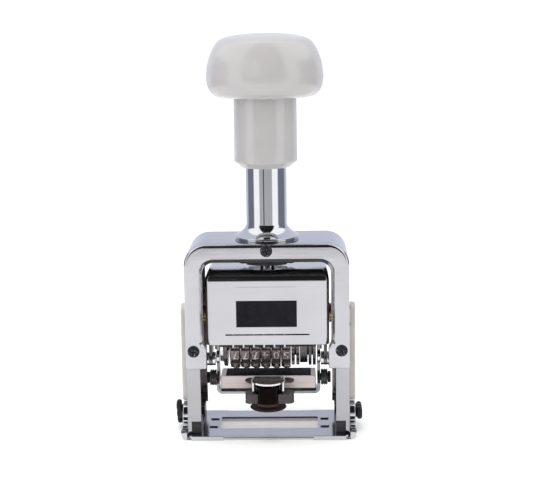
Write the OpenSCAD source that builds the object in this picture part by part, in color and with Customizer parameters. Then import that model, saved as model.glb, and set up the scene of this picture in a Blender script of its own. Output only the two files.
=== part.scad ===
// Automatic hand numbering machine: six type wheels on a sprung plunger, in a chromed inverted-U frame.
// X runs to the right, Y to the back, Z up. The origin is the bottom centre of the base.

/* [Base] */
// Height of the pierced foot under the base plate
foot_t = 1.0; // [0.8:0.1:1.4]
// Thickness of the base plate on the foot
plate_t = 0.8; // [0.6:0.1:1.2]
// Depth of the base, front to back
base_d = 32; // [31:0.5:38]
// Width of the window that the type prints through
window_w = 40; // [38:0.5:42]
// Depth of that window
window_d = 14.4; // [13.4:0.2:16]
// Thickness of the ears that rise outside the legs
ear_t = 2.5; // [2:0.1:3]
// Height of the ears
ear_h = 11.4; // [10.5:0.2:12]
// Height of the thumb screws' axis
thumb_z = 7; // [6.8:0.1:7.2]

/* [Frame] */
// Width over the legs
frame_w = 64.8; // [62:0.2:70]
// Depth of the main frame behind the front yoke
frame_d = 28; // [27:0.5:32]
// Height of the frame's flat top
frame_h = 79.3; // [76:0.1:84]
// Thickness of the bridge at the top
bridge_t = 7.2; // [6:0.2:8]
// Radius of the frame's outer top corners
corner_r = 8.5; // [6:0.5:12]
// Wall of the channel-shaped legs
leg_wall = 1.5; // [1.2:0.1:2]
// Width of the legs' front flange
front_flange = 5.3; // [4.6:0.1:5.8]
// Width of the legs' rear flange
rear_flange = 6.2; // [5:0.1:6.6]
// Height at which the legs' flanges stand on their blocks
leg_z = 6.8; // [6:0.1:7.5]
// Thickness of the front yoke
yoke_t = 3; // [2.6:0.1:3.2]
// Width of the yoke's side bands
yoke_band = 5.4; // [5:0.1:5.8]
// Height of the yoke's top band
yoke_top = 5.7; // [5:0.1:6.2]
// Width of the bevel round the yoke's opening
yoke_bevel = 1.8; // [1:0.1:2]
// Height at which the yoke's feet end
yoke_z = 29.3; // [28:0.1:30]
// Height of the yoke's widened feet
yoke_foot_h = 9.5; // [8:0.5:11]
// Width of the widened feet
yoke_foot_w = 8.3; // [7.6:0.1:8.4]
// Head diameter of the yoke's screws
screw_head_d = 4.8; // [4:0.1:5]

/* [Guide tube and handle] */
// Outer diameter of the guide tube near its foot
tube_d = 16.2; // [15:0.1:16.4]
// Wall of the guide tube
tube_wall = 0.9; // [0.6:0.1:1.2]
// Length of the tube that stays inside the sleeve at rest
tube_grip = 13; // [10:0.5:15]
// Diameter of the flared foot of the tube
flare_d = 25.6; // [22:0.2:27]
// Height of the flare
flare_h = 5.5; // [4.5:0.1:6.5]
// Thickness of the ring under the flare
ring_t = 0.9; // [0.6:0.1:1.4]
// Diameter of the handle's sleeve
sleeve_d = 25; // [23:0.2:27]
// Length of the sleeve that shows under the knob
sleeve_len = 27.3; // [24:0.1:32]
// Bore of the sleeve
sleeve_bore = 17.3; // [17:0.1:18]
// Widest diameter of the knob
knob_d = 46; // [42:0.5:50]
// Height of the knob
knob_h = 24.8; // [22:0.2:28]

/* [Carriage] */
// Travel of the plunger
travel = 25; // [22:0.5:25]
// Diameter of the plunger rod
rod_d = 6; // [5:0.1:7]
// Room between the case and the channel of each leg
guide_gap = 6.4; // [6.2:0.1:6.8]
// Depth of the case
case_d = 25.2; // [24.8:0.1:25.2]
// Radius of the case's upper front and rear edges
case_r = 3.8; // [3:0.1:5]
// Sheet thickness of the case
case_t = 0.8; // [0.6:0.1:0.9]
// Thickness of the side plates
side_t = 1.2; // [1:0.1:1.3]
// Diameter of the wheel shaft
shaft_d = 4; // [3:0.1:5]

/* [Number wheels] */
// Radius over the type faces
wheel_r = 11.3; // [10.8:0.1:11.3]
// Gap between one wheel and the next
wheel_gap = 0.3; // [0.2:0.05:0.7]
// Height of the type blocks above the wheel's body
type_h = 1.5; // [1:0.1:2]
// How much narrower a type block is than its wheel
type_side = 0.6; // [0.4:0.1:1.2]
// Height of a figure round the rim
type_len = 4.8; // [4:0.1:5]

/* [Ink pad] */
// Angle through which the pad arm swings
pad_swing = 75; // [70:1:78]
// Height of the pad's top face at rest
pad_top = 24.2; // [23.8:0.1:24.4]
// Wall of the pad's tray at each end
tray_wall = 2.1; // [1.6:0.1:5]
// Depth of the ink pad
pad_d = 10.4; // [9:0.2:11]
// Thickness of the ink pad
pad_t = 2.6; // [2:0.1:3]
// Clearance between the tray and each arm of its bracket
tray_gap = 0.6; // [0.3:0.1:1.4]
// Height of the pad's tray
tray_h = 5.2; // [4.8:0.1:5.4]
// Sheet thickness of the pad bracket
arm_t = 1.2; // [0.8:0.1:1.2]
// Forward travel of the tray when the pad is changed
tray_travel = 30; // [20:1:34]
// Diameter of the guide rollers on the pad bracket
roller_d = 6.6; // [5.6:0.1:6.8]
// Diameter of the pad knob's body
pad_knob_d = 10.2; // [8:0.2:10.6]
// Diameter of the pad knob's flared rim
pad_bell_d = 14.6; // [12:0.2:16]

/* [Hidden] */
$fn = 64;
EPS = 0.02;
slip = 0.05;
wheels = 6;
figures = 10;
base_top = foot_t + plate_t;
leg_x = frame_w / 2;
front_y = -base_d / 2;
yoke_y = front_y + yoke_t;
frame_back = yoke_y + frame_d;
bridge_z = frame_h - bridge_t;
channel_x = leg_x - leg_wall;
slot_w = 4.6;
tube_z0 = frame_h + ring_t;
sleeve_low = tube_z0 + flare_h / 2;
sleeve_z = sleeve_low + travel;
knob_z = sleeve_z + sleeve_len;
knob_top = knob_z + knob_h;
tube_top = sleeve_z + tube_grip;
nut_h = 2;
axis_z = wheel_r + travel + 0.4;
case_z = axis_z + 1.6;
case_top = bridge_z - nut_h - 2.3;
case_corner = 3.4;
head_room = case_top - axis_z - wheel_r;
block_h = 0.22 * head_room;
block_top = case_top - case_t - 0.6;
plate_top = case_top - case_corner;
block_z = block_top - block_h;
stud_z = axis_z + 11.5;
slot_z = stud_z - travel - slot_w / 2 - 0.4;
slot_top = stud_z + slot_w / 2 + 0.4;
case_x = channel_x - guide_gap;
case_w = 2 * case_x;
case_y = case_d / 2;
plate_x = case_x - case_t - side_t - 0.05;
tube_r = tube_d / 2;
tube_bore = tube_d - 2 * tube_wall - 0.6;
thumb_d = 3.6;
arm_gap = 1.55;
arm_out = plate_x - arm_gap;
arm_x = arm_out - arm_t;
tray_w = 2 * (arm_x - tray_gap);
pad_w = tray_w - 2 * tray_wall;
end_room = 6.4;
set_w = 9.9;
set_gap = 0.55;
first_wheel_x = end_room - arm_x;
wheel_pitch = (2 * arm_x - end_room - set_w - set_gap) / (wheels - 0.5);
wheel_w = wheel_pitch - wheel_gap;
type_w = wheel_w - type_side;
set_x = first_wheel_x + (wheels - 0.5) * wheel_pitch;
roller_z = 21.6;
roller_y = -1;
pad_front = -7.4;

// A ring of material about Z, from radius r1 to r2 and height h
module tube_z(r2, r1, h) {
    difference() {
        cylinder(h = h, r = r2);
        translate([0, 0, -1]) cylinder(h = h + 2, r = r1);
    }
}

// A rod along X, from x1 to x2, at y and z
module rod_x(d, x1, x2, y, z, sides = 48) {
    translate([x1, y, z]) rotate([0, 90, 0]) cylinder(h = x2 - x1, d = d, $fn = sides);
}

// A ring along X, from x1 to x2, at y and z
module ring_x(d2, d1, x1, x2, y, z, sides = 48) {
    difference() {
        rod_x(d2, x1, x2, y, z, sides);
        rod_x(d1, x1 - 1, x2 + 1, y, z);
    }
}

// A flat rectangle, centred in x and standing on y = 0, with its two top corners rounded
module arch_2d(w, h, r) {
    translate([-w / 2, 0]) square([w, h - r]);
    translate([-w / 2 + r, 0]) square([w - 2 * r, h]);
    for (s = [-1, 1]) translate([s * (w / 2 - r), h - r]) circle(r);
}

// A centred rectangle with all four corners rounded
module round_rect_2d(w, h, r) {
    square([w - 2 * r, h], center = true);
    square([w, h - 2 * r], center = true);
    for (sx = [-1, 1], sy = [-1, 1]) translate([sx * (w / 2 - r), sy * (h / 2 - r)]) circle(r);
}

// A flat outline in x and z, made solid from y1 back to y2
module along_y(y1, y2) {
    translate([0, y2, 0]) rotate([90, 0, 0]) linear_extrude(y2 - y1) children();
}

// A flat outline in y and z, made solid from x1 to x2
module along_x(x1, x2) {
    translate([x1, 0, 0]) rotate([90, 0, 90]) linear_extrude(x2 - x1) children();
}

// A cross recess for a screw's head, cut along -Z from the origin
module cross_recess(size, depth) {
    for (a = [0, 90]) rotate(a) translate([-size / 2, -size / 8, -depth]) cube([size, size / 4, depth + 1]);
}

// A domed screw head standing on z = 0, with a cross recess and a shank below it
module cross_screw(head_d, head_h, shank_d, shank_len) {
    dome_r = (head_d * head_d / 4 + head_h * head_h) / (2 * head_h);
    difference() {
        intersection() {
            translate([0, 0, head_h - dome_r]) sphere(dome_r);
            cylinder(h = head_h, d = head_d);
        }
        translate([0, 0, head_h]) cross_recess(head_d * 0.6, head_h * 0.6);
    }
    translate([0, 0, -shank_len]) cylinder(h = shank_len + EPS, d = shank_d);
}

// ---- Base ----

foot_x = leg_x + 0.2 + ear_t;
ear_in = leg_x + 0.2;
lip_x = 18;
lip_d = 0.7;
window_y = 0.4;

// Pierced chromed foot whose two ends turn up into ears outside the legs
module base_foot() {
    color("silver") {
        difference() {
            intersection() {
                along_y(front_y, -front_y) difference() {
                    translate([0, ear_h]) mirror([0, 1]) arch_2d(2 * foot_x, ear_h, 3.5);
                    translate([-ear_in, foot_t]) square([2 * ear_in, ear_h]);
                }
                along_x(-foot_x - 1, foot_x + 1) {
                    translate([front_y - 1, -1]) square([base_d + 2, base_top + 1.4]);
                    translate([-11, 0]) square([22, 4.2]);
                    arch_2d(13, ear_h, 6);
                }
            }
            translate([-window_w / 2 - 0.5, window_y - window_d / 2 - 0.5, -1])
                cube([window_w + 1, window_d + 1, foot_t + 2]);
            rod_x(thumb_d + 0.2, -foot_x - 1, foot_x + 1, 0, thumb_z);
        }
        for (sx = [-1, 1], sy = [-1, 1]) {
            translate([sx > 0 ? lip_x : -lip_x - 13, sy > 0 ? -front_y : front_y - lip_d, 0])
                cube([13, lip_d, base_top]);
        }
    }
}

// Bright plate on the foot, with the printing window and two small guide lugs at each end of it
module base_plate() {
    lug_x = window_w / 2 + 2.6;
    color("gainsboro") translate([0, 0, foot_t]) {
        linear_extrude(plate_t) difference() {
            round_rect_2d(2 * leg_x - 0.2, base_d - 0.2, 1.5);
            translate([0, window_y]) round_rect_2d(window_w, window_d, 0.6);
        }
        for (sx = [-1, 1], y = [-4.6, 5.2]) translate([sx * lug_x, y, plate_t])
            linear_extrude(0.5) round_rect_2d(3.6, 1.5, 0.7);
    }
}

// Two dark blocks that the legs' flanges stand on
module leg_blocks() {
    block_x = leg_x - front_flange - 0.1;
    color("#202022") for (s = [-1, 1])
        translate([s > 0 ? block_x : -channel_x + 0.15, yoke_y + 0.2, base_top])
            difference() {
                cube([channel_x - 0.15 - block_x, frame_d - 0.6, leg_z - base_top]);
                translate([-1, (frame_d - 9) / 2, 1]) cube([frame_w, 9, leg_z]);
            }
}

// ---- Frame ----

// Main frame: an inverted U with channel-shaped legs that are open towards the middle
module main_frame() {
    inner_y = yoke_y + leg_wall;
    inner_back = frame_back - leg_wall;
    front_x = leg_x - front_flange;
    rear_x = leg_x - rear_flange;
    color("silver") difference() {
        translate([0, 0, base_top + 0.1]) along_y(yoke_y, frame_back)
            arch_2d(frame_w, frame_h - base_top - 0.1, corner_r);
        along_y(inner_y, inner_back) arch_2d(2 * channel_x, bridge_z, corner_r - 1.5);
        along_y(yoke_y - 1, inner_y + EPS) arch_2d(2 * front_x, bridge_z, 4.5);
        along_y(inner_back - EPS, frame_back + 1) arch_2d(2 * rear_x, bridge_z, 4.5);
        translate([-channel_x, yoke_y - 1, 0]) cube([2 * channel_x, frame_d + 2, leg_z]);
        for (s = [-1, 1]) {
            translate([s > 0 ? channel_x - 1 : -leg_x - 1, -slot_w / 2, slot_z + slot_w / 2])
                cube([leg_wall + 2, slot_w, slot_top - slot_z - slot_w]);
            for (z = [slot_z + slot_w / 2, slot_top - slot_w / 2])
                rod_x(slot_w, s > 0 ? channel_x - 1 : -leg_x - 1, s > 0 ? leg_x + 1 : -channel_x + 1, 0, z);
        }
        rod_x(thumb_d + 0.2, -leg_x - 1, leg_x + 1, 0, thumb_z);
        translate([0, 0, bridge_z - 1]) cylinder(h = bridge_t + 2, d = spigot_d + 0.1);
        for (p = yoke_screw_places()) translate([p[0], yoke_y + 5, p[1]])
            rotate([90, 0, 0]) cylinder(h = 6, d = 2.2);
    }
}

spigot_d = 12;
function yoke_screw_places() = [
    [0, frame_h - yoke_top / 2 + 0.3],
    [-leg_x + yoke_band / 2 + 0.5, yoke_z + yoke_foot_h - 2.2],
    [leg_x - yoke_band / 2 - 0.5, yoke_z + yoke_foot_h - 2.2]
];

// The yoke's opening at a bevel depth of grow
module yoke_opening_2d(grow) {
    open_x = leg_x - yoke_band - yoke_bevel + grow;
    arch_2d(2 * open_x, frame_h - yoke_top - yoke_bevel + grow, 4.5);
}

// Front yoke: a heavy chromed plate with a bevelled opening and two feet that widen inwards
module front_yoke() {
    foot_in = leg_x - yoke_foot_w;
    color("silver") difference() {
        union() {
            along_y(front_y, yoke_y) difference() {
                arch_2d(frame_w, frame_h, corner_r);
                yoke_opening_2d(0);
            }
            for (s = [-1, 1]) translate([s > 0 ? foot_in : -leg_x, front_y + 0.4, yoke_z])
                cube([yoke_foot_w, yoke_t - 0.4, yoke_foot_h]);
        }
        difference() {
            hull() {
                along_y(front_y - EPS, front_y) yoke_opening_2d(yoke_bevel);
                along_y(front_y + yoke_bevel, front_y + yoke_bevel + EPS) yoke_opening_2d(0);
            }
            translate([-leg_x, front_y - 1, 0]) cube([frame_w, yoke_t + 2, yoke_z + yoke_foot_h]);
        }
        translate([-leg_x - 1, front_y - 1, -1]) cube([frame_w + 2, yoke_t + 2, yoke_z + 1]);
        for (p = yoke_screw_places()) translate([p[0], yoke_y + 1, p[1]])
            rotate([90, 0, 0]) cylinder(h = yoke_t + 2, d = 2.6);
    }
}

// Three black cross-head screws that hold the yoke to the main frame
module yoke_screws() {
    color("#1c1c1e") for (p = yoke_screw_places()) translate([p[0], front_y - 0.03, p[1]])
        rotate([90, 0, 0]) cross_screw(screw_head_d, 1.1, 2, yoke_t + 2.6);
}

// One cream strip that closes the guide slot on the outside of a leg
module slot_cover(s) {
    cover_z = ear_h + 0.6;
    cover_top = slot_top + 1.6;
    cover_t = ear_t + 0.3;
    x1 = s > 0 ? leg_x + 0.02 : -leg_x - 0.02 - cover_t;
    color("wheat") translate([0, 0, (cover_z + cover_top) / 2])
        along_x(x1, x1 + cover_t) round_rect_2d(8, cover_top - cover_z, 3.6);
}

module left_slot_cover() {
    slot_cover(-1);
}

module right_slot_cover() {
    slot_cover(1);
}

// Small dark screws beside the slot covers' upper ends
module slot_cover_screws() {
    color("#1c1c1e") for (s = [-1, 1], z = [slot_top + 1, slot_top - 6])
        translate([s * (leg_x + 0.03), -6.2, z]) rotate([0, s * 90, 0])
            cross_screw(2.6, 0.7, 1.2, 0.01);
}

// ---- Guide tube ----

// Ring between the tube's flare and the frame
module tube_ring() {
    color("silver") translate([0, 0, frame_h + 0.02]) tube_z(flare_d / 2 - 0.4, spigot_d / 2 + 0.1, ring_t - 0.04);
}

// The flare's radius at a share t of its height, measured down from its upper end
function flare_r(t) = tube_r + (flare_d / 2 - tube_r) * pow(t, 2.2);

// Chromed guide tube, drawn out to a trumpet foot, with a threaded spigot through the bridge
module guide_tube() {
    steps = 14;
    seat_z = tube_z0 + 0.6;
    color("silver") rotate_extrude($fn = 96) polygon(concat(
        [[tube_bore / 2, tube_top], [tube_bore / 2, seat_z], [rod_d / 2 + slip, seat_z]],
        [[rod_d / 2 + slip, bridge_z - nut_h - 0.2], [spigot_d / 2, bridge_z - nut_h - 0.2]],
        [[spigot_d / 2, tube_z0], [flare_d / 2, tube_z0]],
        [for (i = [0:steps]) [flare_r(1 - i / steps), tube_z0 + 0.3 + (flare_h - 0.3) * i / steps]],
        [[tube_r - 0.4, tube_top - 0.4], [tube_r - 0.8, tube_top]]
    ));
}

// Round slotted nut that holds the tube to the bridge from below
module tube_nut() {
    color("gray") translate([0, 0, bridge_z - nut_h]) difference() {
        cylinder(h = nut_h - 0.05, d = 25);
        for (a = [45:90:315]) rotate(a) translate([11.2, -1.2, -1]) cube([4, 2.4, nut_h + 2]);
        translate([0, 0, -1]) cylinder(h = nut_h + 2, d = spigot_d + 0.1);
    }
}

// ---- Thumb screws ----

// A wing screw whose shank passes the ear and the leg's wall, turned by angle a about X
module thumb_screw(s, a) {
    wing_x = foot_x + 0.4;
    color("#222224") translate([0, 0, thumb_z]) rotate([s > 0 ? a : -a, 0, 0]) mirror([s > 0 ? 0 : 1, 0, 0]) {
        rod_x(thumb_d, channel_x + 0.05, wing_x + 0.5, 0, 0);
        rod_x(5.6, wing_x, wing_x + 2.4, 0, 0);
        for (m = [-1, 1]) translate([wing_x + 0.2, 0, 0]) along_x(0, 2.2) {
            translate([0, m * 3.3]) circle(2.6);
            translate([-1.6, m > 0 ? 0 : -3.3]) square([3.2, 3.3]);
        }
    }
}

module left_thumb_screw() {
    thumb_screw(-1, 62);
}

module right_thumb_screw() {
    thumb_screw(1, 0);
}

// ---- Handle ----

// The knob's outline as a share of its radius, at a share of its height
KNOB_OUTLINE = [
    [0.62, 0.0], [0.85, 0.055], [0.965, 0.17], [1.0, 0.35], [0.985, 0.5],
    [0.955, 0.62], [0.9, 0.74], [0.84, 0.83], [0.76, 0.9], [0.6, 0.96], [0.3, 0.992], [0.0, 1.0]
];

// Mushroom knob of glossy plastic, hollow for the sleeve's neck and the rod's nut
module knob_cap() {
    cavity_z = knob_top - 8;
    color("whitesmoke") rotate_extrude($fn = 96) difference() {
        polygon(concat(
            [[0, knob_z]],
            [for (p = KNOB_OUTLINE) [p[0] * knob_d / 2, knob_z + p[1] * knob_h]]
        ));
        translate([-1, knob_z - 1]) square([sleeve_neck_r + 0.1 + 1, cavity_z - knob_z + 1]);
    }
}

sleeve_neck_r = sleeve_d / 2 - 2;
neck_h = 9;

// Sleeve that slides over the guide tube, with a neck that plugs into the knob
module knob_sleeve() {
    end_r = sleeve_d / 2 - 2.6;
    color("whitesmoke") rotate_extrude($fn = 96) polygon([
        [sleeve_bore / 2 + 0.8, sleeve_z], [end_r, sleeve_z], [sleeve_d / 2, sleeve_z + 2.2],
        [sleeve_d / 2 - 0.2, knob_z - 0.05], [sleeve_neck_r, knob_z - 0.05], [sleeve_neck_r, knob_z + neck_h],
        [sleeve_bore / 2, knob_z + neck_h], [sleeve_bore / 2, sleeve_z + 2.6]
    ]);
}

// Flanged steel nut in the knob that the rod screws into and the spring pushes against
module knob_nut() {
    color("gray") translate([0, 0, knob_top - 8 - 3]) {
        difference() {
            cylinder(h = 2.95, r = sleeve_neck_r);
            translate([0, 0, -1]) cylinder(h = 5, d = rod_d + 0.1);
        }
    }
}

// Plunger rod from the carriage up to the knob
module plunger_rod() {
    rod_z = block_z + 1;
    color("gainsboro") translate([0, 0, rod_z]) cylinder(h = knob_top - 8.2 - rod_z, d = rod_d);
}

// Return spring round the rod, as a round wire swept along a helix
module main_spring() {
    wire_r = 0.6;
    coil_r = (rod_d / 2 + tube_bore / 2) / 2;
    turns = 12;
    segments = 20;
    sides = 8;
    z1 = tube_z0 + 0.6 + wire_r + 0.1;
    z2 = knob_top - 11 - wire_r - 0.1;
    last = turns * segments;
    points = [for (i = [0:last], j = [0:sides - 1])
        let (a = i * 360 / segments, b = j * 360 / sides, r = coil_r + wire_r * cos(b))
        [r * cos(a), r * sin(a), z1 + (z2 - z1) * i / last + wire_r * sin(b)]];
    walls = [for (i = [0:last - 1], j = [0:sides - 1])
        let (k = (j + 1) % sides)
        [i * sides + j, i * sides + k, (i + 1) * sides + k, (i + 1) * sides + j]];
    ends = [[for (j = [0:sides - 1]) sides - 1 - j], [for (j = [0:sides - 1]) last * sides + j]];
    color("silver") polyhedron(points, concat([for (w = walls) [w[3], w[2], w[1], w[0]]], ends), convexity = 10);
}

// ---- Case and carriage ----

// The case's solid outline, drawn in by inset
module case_body(inset) {
    w = case_w - 2 * inset;
    d = case_d - 2 * inset;
    h = case_top - inset - case_z;
    intersection() {
        translate([0, 0, case_z]) along_y(-case_y, case_y) arch_2d(w, h, case_corner - inset);
        translate([0, 0, case_z]) along_x(-case_x, case_x) arch_2d(d, h, case_r - inset);
        translate([0, 0, case_z]) linear_extrude(h) round_rect_2d(w, d, 1.8 - inset);
    }
}

// Chromed cover over the front, top and sides of the type wheels, with a long slit near its lower edge
module case_cover() {
    slit_z = case_z + 4.1;
    color("silver") difference() {
        case_body(0);
        intersection() {
            case_body(case_t);
            translate([-case_x, -case_y, case_z - 1]) cube([case_w, case_d, case_top]);
        }
        translate([-case_x - 1, -case_y - 1, case_z - 1]) cube([case_w + 2, case_d + 2, 1 + EPS]);
        translate([-case_x + case_t, case_y - case_t - EPS, case_z - 1])
            cube([case_w - 2 * case_t, 2, case_top - case_r - case_z + 1]);
        translate([0, 0, slit_z]) along_y(-case_y - 1, -case_y + 2) {
            square([32.6, 0.6], center = true);
            for (s = [-1, 1]) translate([s * 16.3, 0]) circle(d = 0.6);
        }
        translate([0, 0, case_top - 2]) cylinder(h = 3, d = rod_d + 1.2);
        rod_x(5, -case_x - 1, case_x + 1, 0, stud_z);
    }
}

// Rear plate of the case, between the cover's side walls
module rear_cover() {
    rear_w = case_w - 2 * case_t - 0.1;
    rear_h = case_top - case_r - case_z + 6;
    color("silver") along_y(case_y - case_t, case_y - 0.05)
        translate([0, case_top - case_r - 0.05 - rear_h / 2]) round_rect_2d(rear_w, rear_h, 0.8);
}

// Thin bare label on the cover's front
module case_label() {
    color("white") translate([-0.3, 0, axis_z + 16.8]) along_y(-case_y - 0.18, -case_y - 0.01)
        round_rect_2d(24.4, 16.4, 0.8);
}

// One steel side plate that carries the shaft, the rods and the guide studs
module side_plate(s) {
    low_z = axis_z - 8.5;
    x1 = s > 0 ? plate_x : -plate_x - side_t;
    color("darkgray") along_x(x1, x1 + side_t) difference() {
        union() {
            translate([-9.5, axis_z + 2]) square([19, plate_top - axis_z - 5]);
            translate([-8, axis_z]) square([16, plate_top - axis_z]);
            translate([-8, low_z + 2.5]) square([13, 8]);
            for (y = [-6.2, 3.2]) translate([y, low_z + 2.5]) circle(2.5);
            translate([-6.2, low_z]) square([9.4, 4]);
        }
        translate([0, axis_z]) circle(d = shaft_d + 2 * slip);
        translate([0, stud_z]) circle(d = 4 + 2 * slip);
        for (p = tie_places()) translate(p) circle(d = 3 + 2 * slip);
        translate([-6, axis_z - 5.8]) circle(d = 2.4);
    }
}

function tie_places() = [[-7, (block_z + axis_z + 17) / 2], [7.4, axis_z + 13.6], [-6.4, axis_z + 14.8]];

module left_side_plate() {
    side_plate(-1);
}

module right_side_plate() {
    side_plate(1);
}

// Bright cheese-head screws and inner washers at the side plates' lower front corners
module side_plate_screws() {
    z = axis_z - 5.8;
    color("gainsboro") for (s = [-1, 1]) mirror([s > 0 ? 0 : 1, 0, 0]) {
        rod_x(5.4, plate_x + side_t + 0.02, plate_x + side_t + 1.3, -6, z);
        rod_x(2.3, plate_x - 0.5, plate_x + side_t + 0.1, -6, z);
        rod_x(5.4, plate_x - 0.75, plate_x - 0.02, -6, z);
    }
}

// Studs that guide the carriage in the legs' slots
module guide_studs() {
    color("gainsboro") for (s = [-1, 1]) mirror([s > 0 ? 0 : 1, 0, 0]) {
        rod_x(4, plate_x - 0.2, leg_x - 0.1, 0, stud_z);
        rod_x(7, plate_x - 1.6, plate_x - 0.05, 0, stud_z);
    }
}

// Brass bushes on the studs, with a collar inside the leg and a hub in its slot
module guide_bushes() {
    color("goldenrod") for (s = [-1, 1]) mirror([s > 0 ? 0 : 1, 0, 0]) translate([0, 0, stud_z])
        difference() {
            union() {
                rod_x(8, case_x + 0.3, channel_x - 0.2, 0, 0);
                rod_x(slot_w - 0.1, channel_x - 0.3, leg_x - 0.15, 0, 0);
            }
            rod_x(4.1, case_x, leg_x + 1, 0, 0);
        }
}

// Steel block that joins the side plates under the case's top and takes the rod's end
module carriage_block() {
    color("darkgray") difference() {
        translate([-plate_x + 0.02, -7.9, block_z]) cube([2 * plate_x - 0.04, 15.8, block_h]);
        translate([0, 0, block_z + 1]) cylinder(h = block_h, d = rod_d + 0.1);
    }
}

// Shaft that the number wheels turn on
module wheel_shaft() {
    shaft_x = plate_x + side_t;
    color("gainsboro") rod_x(shaft_d, -shaft_x, shaft_x, 0, axis_z);
}

// Spacing collars on the shaft
module shaft_collars() {
    bore = shaft_d + 2 * slip;
    color("darkgray") {
        for (s = [-1, 1]) mirror([s > 0 ? 0 : 1, 0, 0])
            ring_x(7.4, bore, arm_out + 0.1, plate_x - 0.8, 0, axis_z);
        ring_x(8, bore, -arm_x + 0.1, first_wheel_x - 4.6, 0, axis_z);
        ring_x(17, bore, -arm_x + 0.4, first_wheel_x - 4.6, 0, axis_z);
        ring_x(8, bore, first_wheel_x - 2.9, first_wheel_x - wheel_w / 2 - 0.1, 0, axis_z);
    }
}

// Plain steel disc left of the wheels, pressed on the shaft
module left_end_disc() {
    disc_x = first_wheel_x - 4.5;
    color("darkgray") ring_x(2 * wheel_r - 2.2, shaft_d + 2 * slip, disc_x, disc_x + 1.5, 0, axis_z, 64);
}

// Rod that holds the detent springs
module detent_rod() {
    p = tie_places()[2];
    color("gainsboro") rod_x(3, -plate_x, plate_x, p[0], p[1]);
}

// Leaf springs that hold each wheel at a figure
module detent_springs() {
    p = tie_places()[2];
    color("silver") for (i = [0:wheels - 1]) translate([first_wheel_x + i * wheel_pitch, 0, 0]) {
        ring_x(4.4, 3.1, -1.4, 1.4, p[0], p[1], 32);
        translate([-1.2, p[0], p[1]]) rotate([36, 0, 0]) translate([0, -4.2, -2.2]) cube([2.4, 4.2, 0.4]);
    }
}

// Comb of thin pointers inside the cover's lower edge, one beside each figure
module pointer_comb() {
    comb_y = -case_y + case_t + 0.02;
    color("silver") translate([0, comb_y, 0]) {
        translate([first_wheel_x - 2, 0, case_z + 6]) cube([(wheels - 1) * wheel_pitch + 4, 0.18, 3]);
        for (i = [0:wheels - 1]) translate([first_wheel_x + i * wheel_pitch - 0.7, 0, case_z - 1.3])
            cube([0.6, 0.18, 8]);
    }
}

// Two rods that tie the side plates together
module tie_rods() {
    color("gainsboro") for (p = [tie_places()[0], tie_places()[1]])
        rod_x(3, -plate_x, plate_x, p[0], p[1]);
}

// ---- Number wheels ----

// One figure wheel: hub, ten type blocks round the rim and a ten-toothed ratchet on its side
module number_wheel(i) {
    body_r = wheel_r - type_h;
    x = first_wheel_x + (i - 1) * wheel_pitch;
    color("darkkhaki") translate([x, 0, axis_z]) difference() {
        union() {
            rod_x(2 * body_r, -wheel_w / 2 + 0.5, wheel_w / 2, 0, 0, 64);
            rod_x(2 * body_r - 2, -wheel_w / 2, -wheel_w / 2 + 0.6, 0, 0, 10);
            intersection() {
                rod_x(2 * wheel_r, -wheel_w / 2, wheel_w / 2, 0, 0, 96);
                for (k = [0:figures - 1]) rotate([k * 360 / figures, 0, 0])
                    translate([-type_w / 2 + 0.2, -type_len / 2, body_r - 0.5]) cube([type_w, type_len, type_h + 1]);
            }
        }
        rod_x(shaft_d + 2 * slip, -wheel_w, wheel_w, 0, 0);
    }
}

module number_wheel_1() {
    number_wheel(1);
}

module number_wheel_2() {
    number_wheel(2);
}

module number_wheel_3() {
    number_wheel(3);
}

module number_wheel_4() {
    number_wheel(4);
}

module number_wheel_5() {
    number_wheel(5);
}

module number_wheel_6() {
    number_wheel(6);
}

// Two toothed discs that count how often each number is repeated
module repeat_ratchet() {
    color("darkgray") translate([set_x, 0, axis_z]) difference() {
        union() {
            for (x = [0.1, 2]) {
                rod_x(18, x, x + 1.4, 0, 0, 64);
                for (k = [0:11]) rotate([k * 30, 0, 0]) translate([x, -1, 7.6]) cube([1.4, 2, 2.4]);
            }
            rod_x(12, 1.4, 2.1, 0, 0);
        }
        rod_x(shaft_d + 2 * slip, -1, 5, 0, 0);
    }
}

// Dark cam drum with two bright rims that sets the number of repeats
module repeat_cam() {
    color("dimgray") translate([set_x + 3.5, 0, axis_z]) difference() {
        union() {
            rod_x(18, 0, 3.1, 0, 0, 64);
            rod_x(12, 3, 6.2, 0, 0);
            for (x = [3.5, 5.2]) rod_x(20, x, x + 1.2, 0, 0, 64);
        }
        rod_x(shaft_d + 2 * slip, -1, 8, 0, 0);
        rod_x(2, 4.9, 8, 6, 4);
    }
}

// ---- Stepping pawl ----

rocker_y = tie_places()[1][0];
rocker_z = tie_places()[1][1];

// Rocker that hangs on the rear tie rod above the wheels
module pawl_rocker() {
    cheeks = [first_wheel_x - 4.1, set_x + 0.35];
    color("gray") translate([0, rocker_y, rocker_z]) {
        for (x = cheeks) ring_x(6, 3.1, x, x + 1.6, 0, 0);
        translate([cheeks[0], -2.6, 2.2]) cube([cheeks[1] - cheeks[0] + 1.6, 5.2, 1]);
        for (x = cheeks) translate([x, -2.4, 1.4]) difference() {
            cube([1.6, 4.8, 1.6]);
            translate([-1, 2.4, -1.4]) rotate([0, 90, 0]) cylinder(h = 4, d = 3.1);
        }
    }
}

// Comb of stepped pawls on the rocker, one for each wheel
module pawl_comb() {
    color("darkgray") translate([0, rocker_y, rocker_z]) {
        translate([first_wheel_x - 2.3, 2.7, 0.5]) cube([(wheels - 1) * wheel_pitch + 4.5, 0.8, 2.6]);
        for (i = [0:wheels - 1]) translate([first_wheel_x + i * wheel_pitch - 0.9, 2.8, -0.8])
            cube([1.8, 0.6, 1.6]);
    }
}

// ---- Ink pad ----

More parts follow.
